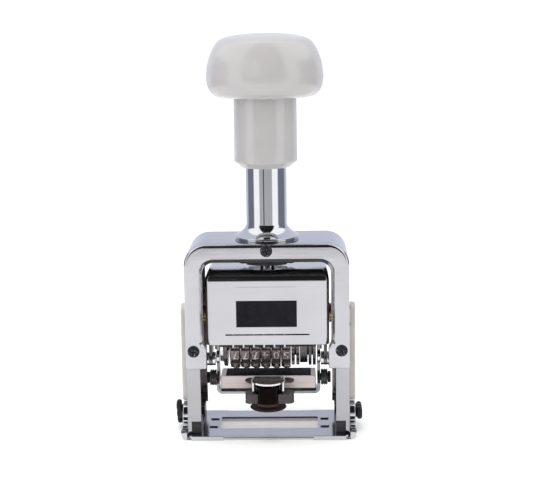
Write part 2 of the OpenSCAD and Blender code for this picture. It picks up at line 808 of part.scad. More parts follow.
// U-shaped steel bracket that swings about the wheel shaft
module pad_bracket() {
    hub_d = 7.2;
    web_top = pad_top - tray_h - 1.2;
    web_z = web_top - arm_t + 0.1;
    color("darkgray") {
        difference() {
            intersection() {
                translate([0, 0, web_z]) along_y(-20, 20) difference() {
                    translate([0, 40]) mirror([0, 1]) arch_2d(2 * arm_out, 40, 2.4);
                    translate([0, 40]) mirror([0, 1]) arch_2d(2 * arm_x, 40 - arm_t + 0.1, 1.3);
                }
                along_x(-arm_out - 1, arm_out + 1) {
                    polygon([
                        [-3.6, axis_z], [-3.8, 25], [-8, 21], [-8, web_z - 1], [-1, web_z - 1],
                        [2.4, 24], [3.6, axis_z]
                    ]);
                    translate([0, axis_z]) circle(d = hub_d);
                }
            }
            rod_x(shaft_d + 2 * slip, -arm_out - 1, arm_out + 1, 0, axis_z);
            rod_x(3.1, -arm_out - 1, arm_out + 1, roller_y, roller_z);
        }
        for (x = [-13, 11]) translate([x, -7.6, web_top - EPS]) cube([2, 6.4, 0.95]);
    }
}

// Dark rollers outside the bracket's arms
module pad_rollers() {
    color("#303033") for (s = [-1, 1]) mirror([s > 0 ? 0 : 1, 0, 0])
        ring_x(roller_d, 3.1, arm_out + 0.3, arm_out + 3, roller_y, roller_z);
}

// Studs that carry the rollers, with heads outside
module roller_studs() {
    color("#3c3c40") for (s = [-1, 1]) mirror([s > 0 ? 0 : 1, 0, 0]) {
        rod_x(3, arm_x + 0.1, arm_out + 3.2, roller_y, roller_z);
        rod_x(4.6, arm_out + 3.15, arm_out + 4.3, roller_y, roller_z);
    }
}

// Cream tray that carries the pad and slides out to the front
module pad_tray() {
    tray_z = pad_top - tray_h;
    color("antiquewhite") difference() {
        translate([-tray_w / 2, pad_front - 1, tray_z]) cube([tray_w, pad_d + 1.4, tray_h]);
        translate([-pad_w / 2 - 0.1, pad_front - 0.1, pad_top - pad_t - 0.1])
            cube([pad_w + 0.2, pad_d + 0.2, pad_t + 1]);
    }
}

// Inked felt pad
module ink_pad() {
    color("#161618") translate([-pad_w / 2, pad_front, pad_top - pad_t]) cube([pad_w, pad_d, pad_t + 0.3]);
}

knob_y = pad_front - 1 - pad_knob_d / 2 - 0.2;

// Turned bell-shaped knob in front of the tray
module pad_knob() {
    bell_z = 12.9;
    r = pad_knob_d / 2;
    color("#4a3a30") translate([0, knob_y, bell_z]) rotate_extrude() polygon([
        [0, 0.5], [pad_bell_d / 2 - 0.5, 0], [pad_bell_d / 2, 0.3], [pad_bell_d / 2 - 1.2, 1],
        [r + 0.2, 1.7], [r, 2.2], [r, 9.3], [r - 0.6, 9.9], [0, 9.9]
    ]);
}

// Dark oval collar round the knob, under the tray's front edge
module knob_collar() {
    color("#2c2e2e") translate([0.6, knob_y, 15.2]) linear_extrude(4) difference() {
        round_rect_2d(19.4, 6.4, 2.4);
        translate([-0.6, 0]) circle(pad_knob_d / 2 + 0.05);
    }
}

// Bright strap that holds the knob to the tray
module tray_clip() {
    strap_x = pad_knob_d / 2 + 1.2;
    color("silver") {
        translate([0, 0, 13.6]) along_y(knob_y - 1, pad_front - 1.05) difference() {
            arch_2d(2 * strap_x, 10.5, 1);
            translate([0, -1]) arch_2d(2 * strap_x - 1.2, 10.85, 0.7);
            translate([-strap_x - 1, -1]) square([2 * strap_x + 2, 6.7]);
        }
        intersection() {
            translate([0, knob_y, 23.4]) cylinder(h = 0.7, r = strap_x);
            translate([-20, pad_front - 41.05, 0]) cube([40, 40, 40]);
        }
    }
}

base_foot();
base_plate();
leg_blocks();
main_frame();
front_yoke();
yoke_screws();
left_slot_cover();
right_slot_cover();
slot_cover_screws();
tube_ring();
guide_tube();
tube_nut();
left_thumb_screw();
right_thumb_screw();
knob_cap();
knob_sleeve();
knob_nut();
plunger_rod();
main_spring();
carriage_block();
case_cover();
rear_cover();
case_label();
left_side_plate();
right_side_plate();
side_plate_screws();
guide_studs();
guide_bushes();
wheel_shaft();
shaft_collars();
left_end_disc();
detent_rod();
detent_springs();
pointer_comb();
tie_rods();
number_wheel_1();
number_wheel_2();
number_wheel_3();
number_wheel_4();
number_wheel_5();
number_wheel_6();
repeat_ratchet();
repeat_cam();
pawl_rocker();
pawl_comb();
pad_bracket();
pad_rollers();
roller_studs();
pad_tray();
ink_pad();
pad_knob();
knob_collar();
tray_clip();
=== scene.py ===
import math

import bmesh
import bpy
import numpy as np
from mathutils import Matrix, Vector
from mathutils.geometry import tessellate_polygon


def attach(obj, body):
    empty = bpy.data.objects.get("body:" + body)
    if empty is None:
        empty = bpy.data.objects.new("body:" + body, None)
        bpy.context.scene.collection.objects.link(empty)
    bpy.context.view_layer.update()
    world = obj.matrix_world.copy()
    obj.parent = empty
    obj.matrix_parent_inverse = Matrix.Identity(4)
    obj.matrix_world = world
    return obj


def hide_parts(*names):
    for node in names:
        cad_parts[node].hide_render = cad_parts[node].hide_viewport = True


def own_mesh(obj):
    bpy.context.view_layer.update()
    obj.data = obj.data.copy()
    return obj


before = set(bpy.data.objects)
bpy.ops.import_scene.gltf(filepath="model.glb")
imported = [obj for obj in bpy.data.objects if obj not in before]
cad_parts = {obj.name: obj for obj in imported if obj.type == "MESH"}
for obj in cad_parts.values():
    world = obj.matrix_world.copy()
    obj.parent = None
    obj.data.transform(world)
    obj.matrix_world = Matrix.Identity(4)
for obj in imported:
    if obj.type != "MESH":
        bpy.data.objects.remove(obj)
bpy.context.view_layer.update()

# ---- Pierced foot ----
# A chromed pressing that stands on the paper. Its two ends turn up into ears outside the legs, and a thumb
# screw passes through each ear. Sheared edges are tumbled, so every one carries a small radius.


def effect(name, inputs, outputs):
    """An empty shader node group with the named inputs (name, kind, value) and outputs (name, kind)."""
    group = bpy.data.node_groups.new(name, "ShaderNodeTree")
    for label, kind, value in inputs:
        socket = group.interface.new_socket(label, in_out="INPUT", socket_type="NodeSocket" + kind)
        socket.default_value = value
    for label, kind in outputs:
        group.interface.new_socket(label, in_out="OUTPUT", socket_type="NodeSocket" + kind)
    return group, group.nodes.new("NodeGroupInput").outputs, group.nodes.new("NodeGroupOutput").inputs


def node(tree, kind, links=(), **settings):
    """A node of the given kind with its settings, and each (input, value or socket) of links filled in."""
    made = tree.nodes.new("ShaderNode" + kind)
    for key, value in settings.items():
        setattr(made, key, value)
    for key, value in links:
        if isinstance(value, bpy.types.NodeSocket):
            tree.links.new(value, made.inputs[key])
        else:
            made.inputs[key].default_value = value
    return made


def maths(tree, operation, *values):
    """The result of a math node on the values or sockets."""
    return node(tree, "Math", enumerate(values), operation=operation).outputs[0]


def ramped(tree, value, low, high, start=0.0, end=1.0):
    """What goes from start to end while the value goes from low to high, and stays there beyond them."""
    ends = [("From Min", low), ("From Max", high), ("To Min", start), ("To Max", end)]
    return node(tree, "MapRange", [("Value", value)] + ends).outputs[0]


def blend(tree, share, first, second):
    """The colour that lies at the share of the way from first to second."""
    return node(tree, "Mix", [(0, share), (6, first), (7, second)], data_type="RGBA").outputs[2]


def used(tree, group, **inputs):
    """The result of a node group in the tree, with these inputs."""
    return node(tree, "Group", inputs.items(), node_tree=group).outputs[0]


# Noise in the piece's own place, stretched along each axis by a scale of its own: brushed lines, mottling
grain_effect, given, wanted = effect(
    "grain", [("Stretch", "Vector", (1.0, 1.0, 1.0)), ("Detail", "Float", 2.0)], [("Value", "Float")]
)
place = node(grain_effect, "TexCoord").outputs["Object"]
stretched = node(grain_effect, "VectorMath", [(0, place), (1, given["Stretch"])], operation="MULTIPLY")
noise = node(
    grain_effect, "TexNoise", [("Vector", stretched.outputs[0]), ("Scale", 1.0), ("Detail", given["Detail"])]
)
grain_effect.links.new(noise.outputs["Fac"], wanted["Value"])

# A value that wanders between two ends with the grain of the given stretch: smears in a gloss, dull patches
wander_effect, given, wanted = effect(
    "wander",
    [("Stretch", "Vector", (1.0, 1.0, 1.0)), ("Low", "Float", 0.0), ("High", "Float", 1.0)],
    [("Value", "Float")],
)
wave = used(wander_effect, grain_effect, Stretch=given["Stretch"], Detail=4.0)
wander_effect.links.new(ramped(wander_effect, wave, 0.3, 0.7, given["Low"], given["High"]), wanted["Value"])

# Two colours mixed by the same wandering, with a third on outer edges: wear on most finishes, a painted
# highlight for glints on the screw heads and rollers
tone_effect, given, wanted = effect(
    "tone",
    [(key, "Color", (1, 1, 1, 1)) for key in ("Colour", "Second", "Rubbed")]
    + [("Stretch", "Vector", (1.0, 1.0, 1.0)), ("Rub", "Float", 0.0)],
    [("Color", "Color")],
)
wave = used(tone_effect, wander_effect, Stretch=given["Stretch"])
mixed = blend(tone_effect, wave, given["Colour"], given["Second"])
edge = ramped(tone_effect, node(tone_effect, "NewGeometry").outputs["Pointiness"], 0.52, 0.6)
wear_and_glint_share = maths(tone_effect, "MULTIPLY", edge, given["Rub"])
tone_effect.links.new(blend(tone_effect, wear_and_glint_share, mixed, given["Rubbed"]), wanted["Color"])


def finish(name, colour, second, rough, patch, grain, depth, wear_and_glint=None, wear_and_glint_share=0.0, **sockets):
    """A surface finish: colour wandering to second over patches, roughness wandering between the two of
    rough, and a bump of depth (mm) from the grain, whose scale is one value or one each along x, y and z.
    Other sockets are set as given."""
    grain = grain if isinstance(grain, tuple) else (grain,) * 3
    made = bpy.data.materials.new(name)
    made.use_nodes = True
    tree = made.node_tree
    shader = tree.nodes["Principled BSDF"]
    for key, value in sockets.items():
        shader.inputs[key.replace("_", " ")].default_value = value
    colours = {"Colour": (*colour, 1), "Second": (*second, 1), "Rubbed": (*(wear_and_glint or colour), 1)}
    tone = used(tree, tone_effect, Stretch=(patch,) * 3, Rub=wear_and_glint_share, **colours)
    tree.links.new(tone, shader.inputs["Base Color"])
    gloss = used(tree, wander_effect, Stretch=[0.25 * g for g in grain], Low=rough[0], High=rough[1])
    tree.links.new(gloss, shader.inputs["Roughness"])
    relief = used(tree, grain_effect, Stretch=grain)
    bump = node(tree, "Bump", [("Height", relief), ("Strength", 1.0), ("Distance", depth * 1e-3)])
    tree.links.new(bump.outputs[0], shader.inputs["Normal"])
    return made


def read(items, key, width=1, kind=float):
    """The key's values of all the items, as rows of the width."""
    values = np.empty(len(items) * width, kind)
    items.foreach_get(key, values)
    return values.reshape(-1, width)


def settle(mesh):
    """Each vertex normal becomes the mean of its faces' normals weighted by their areas, so that wide faces
    stay flat beside their small edge radii."""
    normals, areas = read(mesh.polygons, "normal", 3), read(mesh.polygons, "area")
    sides = read(mesh.polygons, "loop_total", 1, np.int32)
    ends = read(mesh.loops, "vertex_index", 1, np.int32)
    weighted = np.repeat(normals * areas, sides[:, 0], axis=0)
    total = np.zeros((len(mesh.vertices), 3))
    np.add.at(total, ends[:, 0], weighted)
    total /= np.maximum(np.linalg.norm(total, axis=1, keepdims=True), 1e-20)
    mesh.polygons.foreach_set("use_smooth", np.ones(len(sides), bool))
    mesh.normals_split_custom_set_from_vertices(total)


def shown(name, data):
    """A new object of the data, linked to the scene."""
    made = bpy.data.objects.new(name, data)
    bpy.context.scene.collection.objects.link(made)
    return made


def evaluated(piece):
    """A new mesh of the piece as its modifiers leave it."""
    return bpy.data.meshes.new_from_object(piece.evaluated_get(bpy.context.evaluated_depsgraph_get()))


def soften(piece, radius, angle=30):
    """Rounds every edge sharper than the angle to the radius (mm) and settles the normals."""
    rounding = piece.modifiers.new("edges", "BEVEL")
    rounding.width, rounding.segments, rounding.limit_method = radius * 1e-3, 2, "ANGLE"
    rounding.angle_limit = math.radians(angle)
    rounding.miter_outer = "MITER_ARC"
    shape = evaluated(piece)
    piece.modifiers.clear()
    piece.data = shape
    shape.name = piece.name
    settle(shape)


def refined(name, radius, material, body, angle=30):
    """The CAD node's own shape as a new piece: doubles merged, flat faces joined, and every edge sharper than
    the angle rounded to the radius (mm). It stands for the node."""
    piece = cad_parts[name].copy()
    piece.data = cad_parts[name].data.copy()
    piece.name = name + "_dressed"
    bpy.context.scene.collection.objects.link(piece)
    piece.parent = None
    piece.data.materials.clear()
    piece.data.materials.append(material)
    form = bmesh.new()
    form.from_mesh(piece.data)
    bmesh.ops.remove_doubles(form, verts=form.verts, dist=2e-6)
    bmesh.ops.dissolve_limit(form, angle_limit=math.radians(0.5), verts=form.verts, edges=form.edges)
    form.to_mesh(piece.data)
    form.free()
    if piece.data.has_custom_normals:
        bpy.context.view_layer.objects.active = piece
        bpy.ops.mesh.customdata_custom_splitnormals_clear()
    soften(piece, radius, angle)
    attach(piece, body)
    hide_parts(name)
    return piece


chrome = finish(
    "bright_chrome", (0.6, 0.61, 0.63), (0.54, 0.55, 0.575), (0.03, 0.08), patch=90,
    grain=(900, 900, 2600), depth=0.0006, Metallic=1.0,
)


def eased(corners, steps=7):
    """Closed line through corners (x, y, r) with each corner turned into an arc of radius r tangent to both
    its sides: the arc's centre lies r / sin(half) along the bisector, where half is half the inside angle."""
    corners = np.asarray(corners, float)
    spot, radius = corners[:, :2], corners[:, 2:]
    back, on = np.roll(spot, 1, 0) - spot, np.roll(spot, -1, 0) - spot
    back /= np.linalg.norm(back, axis=1, keepdims=True)
    on /= np.linalg.norm(on, axis=1, keepdims=True)
    half = np.arccos(np.clip((back * on).sum(1, keepdims=True), -1, 1)) / 2
    bisector = (back + on) / np.maximum(np.linalg.norm(back + on, axis=1, keepdims=True), 1e-9)
    centre = spot + bisector * radius / np.sin(half)
    first, last = spot + back * radius / np.tan(half) - centre, spot + on * radius / np.tan(half) - centre
    first, last, centre, sweep = first[:, None], last[:, None], centre[:, None], (np.pi - 2 * half)[:, None]
    t = np.linspace(0, 1, steps)[None, :, None]
    arcs = centre + (np.sin((1 - t) * sweep) * first + np.sin(t * sweep) * last) / np.sin(sweep)
    return arcs.reshape(-1, 2)


def oblong(x0, y0, x1, y1, radii, steps=7):
    """A rectangle with eased corners, of one radius or of four, from (x0, y0) by way of (x1, y0)."""
    return eased(np.column_stack([(x0, x1, x1, x0), (y0, y0, y1, y1), np.broadcast_to(radii, 4)]), steps)


def around(count):
    """The angles of count equal steps round a circle."""
    return np.linspace(0, 2 * np.pi, count, endpoint=False)


def polar(radius, angle, middle=(0, 0)):
    """Points at the radius and angle, one value each or one for each point, round the middle."""
    return np.column_stack([radius * np.cos(angle), radius * np.sin(angle)]) + middle


def skin(grid):
    """The points of a (row, column, xyz) grid and the faces over it, whose last column joins its first."""
    rows, columns = grid.shape[:2]
    i, j = np.meshgrid(np.arange(rows - 1), np.arange(columns), indexing="ij")
    i, j, k = i.ravel(), j.ravel(), (j.ravel() + 1) % columns
    faces = np.stack([i * columns + j, i * columns + k, (i + 1) * columns + k, (i + 1) * columns + j], axis=1)
    return grid.reshape(-1, 3), faces


def put(name, body, material, parts, stands_for=()):
    """One piece from (points in mm, faces) parts: doubles merged, faces turned outwards, normals settled."""
    points, faces, start = [], [], 0
    for spots, corners in parts:
        points.append(spots)
        faces += (np.asarray(corners) + start).tolist()
        start += len(spots)
    mesh = bpy.data.meshes.new(name)
    mesh.from_pydata((np.concatenate(points) * 1e-3).tolist(), [], faces)
    form = bmesh.new()
    form.from_mesh(mesh)
    bmesh.ops.remove_doubles(form, verts=form.verts, dist=1.5e-6)
    bmesh.ops.recalc_face_normals(form, faces=form.faces)
    form.to_mesh(mesh)
    form.free()
    mesh.materials.append(material)
    settle(mesh)
    piece = shown(name, mesh)
    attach(piece, body)
    if stands_for:
        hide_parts(*stands_for)
    return piece


def inset(loop, distance):
    """The closed loop moved to its left along mitred normals by the distance, one value or one for each
    point."""
    along = np.roll(loop, -1, 0) - loop
    along /= np.maximum(np.linalg.norm(along, axis=1, keepdims=True), 1e-12)
    left = np.stack([-along[:, 1], along[:, 0]], axis=1)
    miter = left + np.roll(left, 1, 0)
    miter *= 2 / np.maximum((miter**2).sum(1, keepdims=True), 1e-9)
    return loop + miter * np.reshape(distance, (-1, 1))


def thinned(loop):
    """The loop without points that repeat the one before."""
    return loop[np.linalg.norm(loop - np.roll(loop, 1, 0), axis=1) > 1e-4]


def wound(loop, left=True):
    """The loop, turned round if need be so that its inside lies to its left, or to its right."""
    turn = (loop[:, 0] * np.roll(loop[:, 1], -1) - loop[:, 1] * np.roll(loop[:, 0], -1)).sum() > 0
    return loop if turn == left else loop[::-1]


def plate(outline, low, high, edge=0.3, holes=(), axes=(0, 1, 2), section=None, steps=5):
    """A flat plate from low to high. Round its outline and holes the edge is carried as a section of
    (distance into the plate, height) points, by default a straight wall between two quarter arcs of the edge
    radius; flat faces close it. axes names the world axis of the outline's two directions and of the
    height."""
    quarter = np.linspace(0, np.pi / 2, steps)[:, None]
    arc = np.concatenate([edge * (1 - np.sin(quarter)), edge * (1 - np.cos(quarter))], axis=1)
    walls = np.concatenate([arc + (0, low), np.stack([arc[::-1, 0], high - arc[::-1, 1]], axis=1)])
    loops = [wound(thinned(outline))] + [wound(thinned(h), left=False) for h in holes]
    parts, ends = [], ([], [])
    for number, loop in enumerate(loops):
        rows = section(loop, number) if section else [np.tile([[d], [h]], len(loop)) for d, h in walls]
        grid = np.stack([np.column_stack([inset(loop, d), h]) for d, h in rows])
        parts.append(skin(grid))
        for end, row in zip(ends, (grid[0], grid[-1])):
            end.append(row)
    for end in ends:
        fill = tessellate_polygon([[Vector(p) for p in row] for row in end])
        parts.append((np.concatenate(end), [list(reversed(f)) for f in fill]))
    return [(spots[:, np.argsort(axes)], faces) for spots, faces in parts]


def cut(piece, tools, radius):
    """Subtracts closed (points, faces) tools from the piece and rounds the edges that this leaves."""
    tool = put("cutting_tool", "frame", chrome, tools)
    taking = piece.modifiers.new("cut", "BOOLEAN")
    taking.operation, taking.solver, taking.object = "DIFFERENCE", "EXACT", tool
    shape = evaluated(piece)
    piece.modifiers.clear()
    piece.data = shape
    bpy.data.objects.remove(tool)
    soften(piece, radius)


# The world axes of an outline's two directions and of its height, for a form whose height lies along X or Y
facing_x, facing_y = (1, 2, 0), (0, 2, 1)

ear_x, ear_in, ear_rise, base_x, base_y, foot_t = 35.1, 32.6, 3.2, 33.4, 16.0, 1.0
bend_in, shank_z, shank_hole, lip_w, lip_d, lip_h = 30, 7.0, 1.9, 13, 0.9, 1.8
sheet = oblong(-base_x, -base_y, base_x, base_y, 0.6)
opening = oblong(-20.5, -7.3, 20.5, 8.1, 0.8)
bend = eased([
    (bend_in, 0, 0), (ear_x, 0, 3.0), (ear_x, ear_rise, 0), (ear_in, ear_rise, 0), (ear_in, foot_t, 0.4),
    (bend_in, foot_t, 0),
], steps=10)
parts = plate(sheet, 0, foot_t, 0.25, [opening])
for hand in (-1, 1):
    parts += plate(bend * (hand, 1), -base_y, base_y, 0.3, axes=facing_y)
ear = eased([
    (-11, 1.2, 0), (11, 1.2, 0), (11, 4.2, 1.4), (6.6, 5.4, 2.0), (6.4, 11.4, 4.6), (-6.4, 11.4, 4.6),
    (-6.6, 5.4, 2.0), (-11, 4.2, 1.4),
], 9)
hole = oblong(-shank_hole, shank_z - shank_hole, shank_hole, shank_z + shank_hole, shank_hole - 0.01, steps=9)
ears = []
for low, high in ((-ear_x, -ear_in), (ear_in, ear_x)):
    ears += plate(ear, low, high, 0.35, [hole], axes=facing_x)
lips = []
for x in (-31, 18):
    for y in (-16.7, 15.8):
        lips += plate(oblong(x, y, x + lip_w, y + lip_d, 0.3), 0.01, lip_h, 0.2)
put("pierced_foot", "frame", chrome, parts + ears + lips, ["base_foot"])

# ---- Base plate and leg blocks ----
# The bright plate lies on the foot and carries the printing window with two small lugs at each end. The legs'
# flanges stand on two blackened blocks, milled out in the middle for the pad's arms.

plate_steel = finish(
    "base_plate_steel", (0.42, 0.42, 0.44), (0.38, 0.38, 0.4), (0.1, 0.2), patch=120,
    grain=(9000, 160, 160), depth=0.0012, Metallic=1.0,
)
refined("base_plate", 0.2, plate_steel, "frame")

black_oxide = finish(
    "black_oxide", (0.01, 0.01, 0.012), (0.022, 0.021, 0.023), (0.24, 0.42), patch=300, grain=2600,
    depth=0.004, wear_and_glint=(0.12, 0.12, 0.13), wear_and_glint_share=0.25, Specular_IOR_Level=0.12,
)
refined("leg_blocks", 0.25, black_oxide, "frame")

# ---- Main frame ----
# One chromed casting: a bridge over the case and two channel-shaped legs, open towards the middle, with a
# slot in each leg's outer wall for the guide studs. The outside is polished before plating. The channels are
# coloured dull brown, and nearly black from 60 mm up to the bridge as painted shade under it.

polish = dict(rough=(0.08, 0.16), patch=70, grain=(260, 260, 5200), depth=0.0012, Metallic=1.0)
leg_chrome = finish("leg_chrome", (0.425, 0.422, 0.442), (0.378, 0.376, 0.394), **polish)


def dull_coat_and_painted_shade(material, half_x, front, rear, top, colour):
    """Gives the material's points inside a box (mm), behind front, before rear, below top and nearer the
    middle than half_x, a dull dark coat, which in several uses is painted shade: colour, metal and roughness
    become colour (up to 1.8 times as light in patches), 0 and 0.55 there."""
    tree = material.node_tree
    shader = tree.nodes["Principled BSDF"]
    at = node(tree, "SeparateXYZ", [("Vector", node(tree, "TexCoord").outputs["Object"])]).outputs
    mask = maths(tree, "LESS_THAN", maths(tree, "ABSOLUTE", at["X"]), half_x * 1e-3)
    for axis, way, limit in (("Y", "GREATER_THAN", front), ("Y", "LESS_THAN", rear), ("Z", "LESS_THAN", top)):
        mask = maths(tree, "MULTIPLY", mask, maths(tree, way, at[axis], limit * 1e-3))
    lighter = (*(1.8 * c for c in colour), 1)
    coat = used(tree, tone_effect, Colour=(*colour, 1), Second=lighter, Stretch=(240,) * 3)
    base, metal, rough = (shader.inputs[key] for key in ("Base Color", "Metallic", "Roughness"))
    tree.links.new(blend(tree, mask, base.links[0].from_socket, coat), base)
    before = metal.links[0].from_socket if metal.links else 1.0
    tree.links.new(node(tree, "Mix", [(0, mask), (2, before), (3, 0.0)]).outputs[0], metal)
    gloss = node(tree, "Mix", [(0, mask), (2, rough.links[0].from_socket), (3, 0.55)])
    tree.links.new(gloss.outputs[0], rough)


channel_x, channel_front, channel_rear, bridge_low = 30.98, -12.9, 13.4, 72.15
# Painted shade: the channels are nearly black under the bridge. Below 60 mm they are coloured dull brown.
dull_coat_and_painted_shade(leg_chrome, channel_x, channel_front, channel_rear, bridge_low, (0.022, 0.018, 0.017))
dull_coat_and_painted_shade(leg_chrome, channel_x, channel_front, channel_rear, 60.0, (0.34, 0.275, 0.26))
# The rear wall of the base plate's window is coloured nearly black
dull_coat_and_painted_shade(plate_steel, half_x=20.3, front=7.4, rear=7.8, top=1.74, colour=(0.03, 0.026, 0.034))
refined("main_frame", 0.55, leg_chrome, "frame", angle=40)

# ---- Front yoke ----
# The thick chromed front of the frame. Its outer edge is rounded over and its opening has a wide bevel, which
# runs out above the two feet, where the plate widens inwards to take the lower screws. The opening's own wall
# behind the bevel is coloured nearly black as painted shade.

frame_w, frame_h, front_y, yoke_t = 64.8, 79.3, -16.0, 3.0
yoke_low, foot_top, foot_in, opening_x, opening_top = 29.3, 38.8, 24.1, 25.2, 71.8
side = frame_w / 2
right_edge = [
    (opening_x, opening_top, 4.5), (opening_x, foot_top + 1.4, 3), (foot_in, foot_top - 1.2, 4),
    (foot_in, yoke_low, 0.6), (side - 0.4, yoke_low, 0), (side, yoke_low + 0.4, 0), (side, frame_h, 8.5),
]
left_edge = [(-x, z, r) for x, z, r in reversed(right_edge)]
yoke_outline = eased(left_edge[1:] + right_edge + left_edge[:1], steps=16)

frame_chrome = finish("frame_chrome", (0.515, 0.51, 0.532), (0.465, 0.46, 0.482), **polish)
# Painted shade: the opening's wall behind the bevel is nearly black.
dull_coat_and_painted_shade(frame_chrome, half_x=24.2, front=-15.9, rear=10.0, top=76.0, colour=(0.02, 0.02, 0.023))


def yoke_edge(loop, number):
    """Rows of the yoke's edge. Outside: a rear radius of 0.3, the wall, and a front radius of 1.3, or 0.5
    round the opening and below. Round the opening the front row goes 1.91 in and the wall starts 1.95 deep; a
    smooth step in height blends that bevel out above the feet."""
    x, z = loop.T
    inside = (np.abs(x) < opening_x + 0.4) & (z < opening_top + 0.6)
    rise = np.clip((z - foot_top + 1.6) / 2.6, 0, 1)
    bevel = np.where(inside, rise * rise * (3 - 2 * rise), 0)
    a = np.linspace(0, np.pi / 2, 6)
    soft = np.where(inside | (z < yoke_low + 0.1), 0.5, 1.3)
    rows = [(0.3 * (1 - np.sin(t)) + 0 * x, front_y + yoke_t - 0.3 * (1 - np.cos(t)) + 0 * x) for t in a]
    for t in a:
        round_in, round_out = soft * (1 - np.cos(t)), front_y + soft * (1 - np.sin(t))
        share = t / (np.pi / 2)
        slant_in = 0.06 + 1.85 * np.interp(share, [0, 0.2, 0.8, 1], [0, 0.08, 0.9, 1.0])
        slant_out = front_y + 1.95 * np.interp(share, [0, 0.2, 0.8, 1], [1, 0.88, 0.05, 0])
        rows.append((round_in + (slant_in - round_in) * bevel, round_out + (slant_out - round_out) * bevel))
    return rows


put(
    "yoke", "frame", frame_chrome,
    plate(yoke_outline, front_y, front_y + yoke_t, axes=facing_y, section=yoke_edge), ["front_yoke"],
)

# ---- Yoke screws ----
# Three blackened cross-head screws clamp the yoke to the frame. The cross is punched, so its floor is rounded
# and its arms taper in depth.


def screw_head(radius, height, arm):
    """Domed head as a height over the polar grid (r, a): a cap h (1 - (r / R)^2.6), less a cross whose depth
    falls smoothly at its arms' sides (half width 0.17 arm) and ends (arm long), and a closing wall and floor
    below."""
    r, a = np.meshgrid(np.linspace(0, 1, 34), around(96), indexing="ij")
    x, y = radius * r * np.cos(a), radius * r * np.sin(a)
    z = height * (1 - r**2.6) + 0.12
    across, along = np.minimum(abs(x), abs(y)), np.maximum(abs(x), abs(y))
    cut = 1 / (1 + np.exp((across - arm * 0.17) * 22)) / (1 + np.exp((along - arm) * 14))
    z = z - 0.75 * height * cut * (1.15 - along / radius)
    cap = np.stack([x, y, z], axis=-1)
    rim = cap[-1] * (1, 1, 0)
    grid = np.concatenate([cap, rim[None], rim[None] * 0], axis=0)
    return skin(grid)


def spun(x, y, degrees):
    """x and y turned about zero by the angle."""
    c, s = math.cos(math.radians(degrees)), math.sin(math.radians(degrees))
    return x * c - y * s, x * s + y * c


screw_x, foot_screw_z, bridge_screw_z = 29.2, 36.6, 76.75
spots, corners = screw_head(radius=2.4, height=1.1, arm=1.5)
across, up, out = spots.T
heads = []
for x, z, degrees in ((0, bridge_screw_z, 18), (-screw_x, foot_screw_z, -12), (screw_x, foot_screw_z, 30)):
    u, v = spun(across, up, degrees)
    heads.append((np.column_stack([x + u, front_y - 0.02 - out, z + v]), corners))
# Painted highlight: the light edge colour of the screw heads stands for their glints.
screw_black = finish(
    "screw_black", (0.009, 0.009, 0.011), (0.016, 0.016, 0.018), (0.16, 0.3), patch=300, grain=2600,
    depth=0.004, wear_and_glint=(0.5, 0.5, 0.53), wear_and_glint_share=0.6, Specular_IOR_Level=0.2,
)
put("yoke_screw_heads", "frame", screw_black, heads, ["yoke_screws"])

# ---- Slot covers ----
# Moulded cream strips with rounded ends close the guide slots on the legs' outsides. Small dark screws hold
# them.

cream_plastic = finish(
    "cream_plastic", (0.57, 0.54, 0.51), (0.51, 0.475, 0.44), (0.36, 0.5), patch=160, grain=4200,
    depth=0.003, Subsurface_Weight=0.06, Subsurface_Radius=(0.0012, 0.0008, 0.0005),
)
strip = oblong(-4, 12, 4, 52.5, 3.4, steps=12)
for name, low, high in (("left_slot_cover", -35.22, -32.42), ("right_slot_cover", 32.42, 35.22)):
    form = plate(strip, low, high, 0.7, axes=facing_x)
    put(name + "_strip", "frame", cream_plastic, form, [name])
refined("slot_cover_screws", 0.08, black_oxide, "frame")

# ---- Guide tube ----
# Drawn chromed tube whose foot is spun out to a trumpet over a thin ring. A spigot passes through the bridge
# and a blackened slotted nut holds it from below.


def turned(profile, middle=(0, 0), sides=160, axes=(0, 1, 2)):
    """Lathe form: the closed (r, h) profile carried round the height's axis, x = r cos a + mx, y = r sin a +
    my."""
    profile = np.asarray(profile, float)
    a = around(sides)
    r, h = profile[:, :1], profile[:, 1:] + 0 * a
    grid = np.stack([r * np.cos(a) + middle[0], r * np.sin(a) + middle[1], h], axis=-1)
    return skin(np.concatenate([grid, grid[:1]])[..., np.argsort(axes)])


ring_low, ring_high, ring_r, spigot_r = 79.32, 80.18, 12.4, 6.1
ring = oblong(spigot_r, ring_low, ring_r, ring_high, (0.1, 0.15, 0.25, 0.1))
put("tube_ring", "frame", chrome, [turned(ring)], ["tube_ring"])
tube_r, tube_low, tube_high, flare_r, flare_h, lip_h = 8.1, 80.2, 120.95, 12.8, 5.5, 0.32
climb = np.linspace(1, 0, 30)
trumpet = np.column_stack([
    tube_r + (flare_r - 0.12 - tube_r) * climb**2.2, tube_low + lip_h + (flare_h - lip_h) * (1 - climb),
])
outline = np.concatenate([
    [(6.9, tube_high - 0.4), (6.9, tube_low + 0.7), (3.06, tube_low + 0.6), (3.06, 69.9), (5.85, 69.9)],
    [(6.0, 70.1), (6.0, tube_low), (flare_r - 0.2, tube_low), (flare_r - 0.06, tube_low + 0.05)],
    [(flare_r, tube_low + 0.16)], trumpet, [(tube_r, 119.0), (tube_r - 0.1, 120.2), (tube_r - 0.4, 120.8)],
    [(7.3, tube_high), (7.0, tube_high - 0.15)],
])
put("chrome_guide_tube", "frame", chrome, [turned(outline, sides=192)], ["guide_tube"])

grey_steel = finish(
    "grey_steel", (0.4, 0.39, 0.4), (0.32, 0.31, 0.32), (0.28, 0.44), patch=220,
    grain=(1500, 1500, 4200), depth=0.002, wear_and_glint=(0.6, 0.6, 0.61), wear_and_glint_share=0.4, Metallic=1.0,
)
refined("tube_nut", 0.25, black_oxide, "frame")

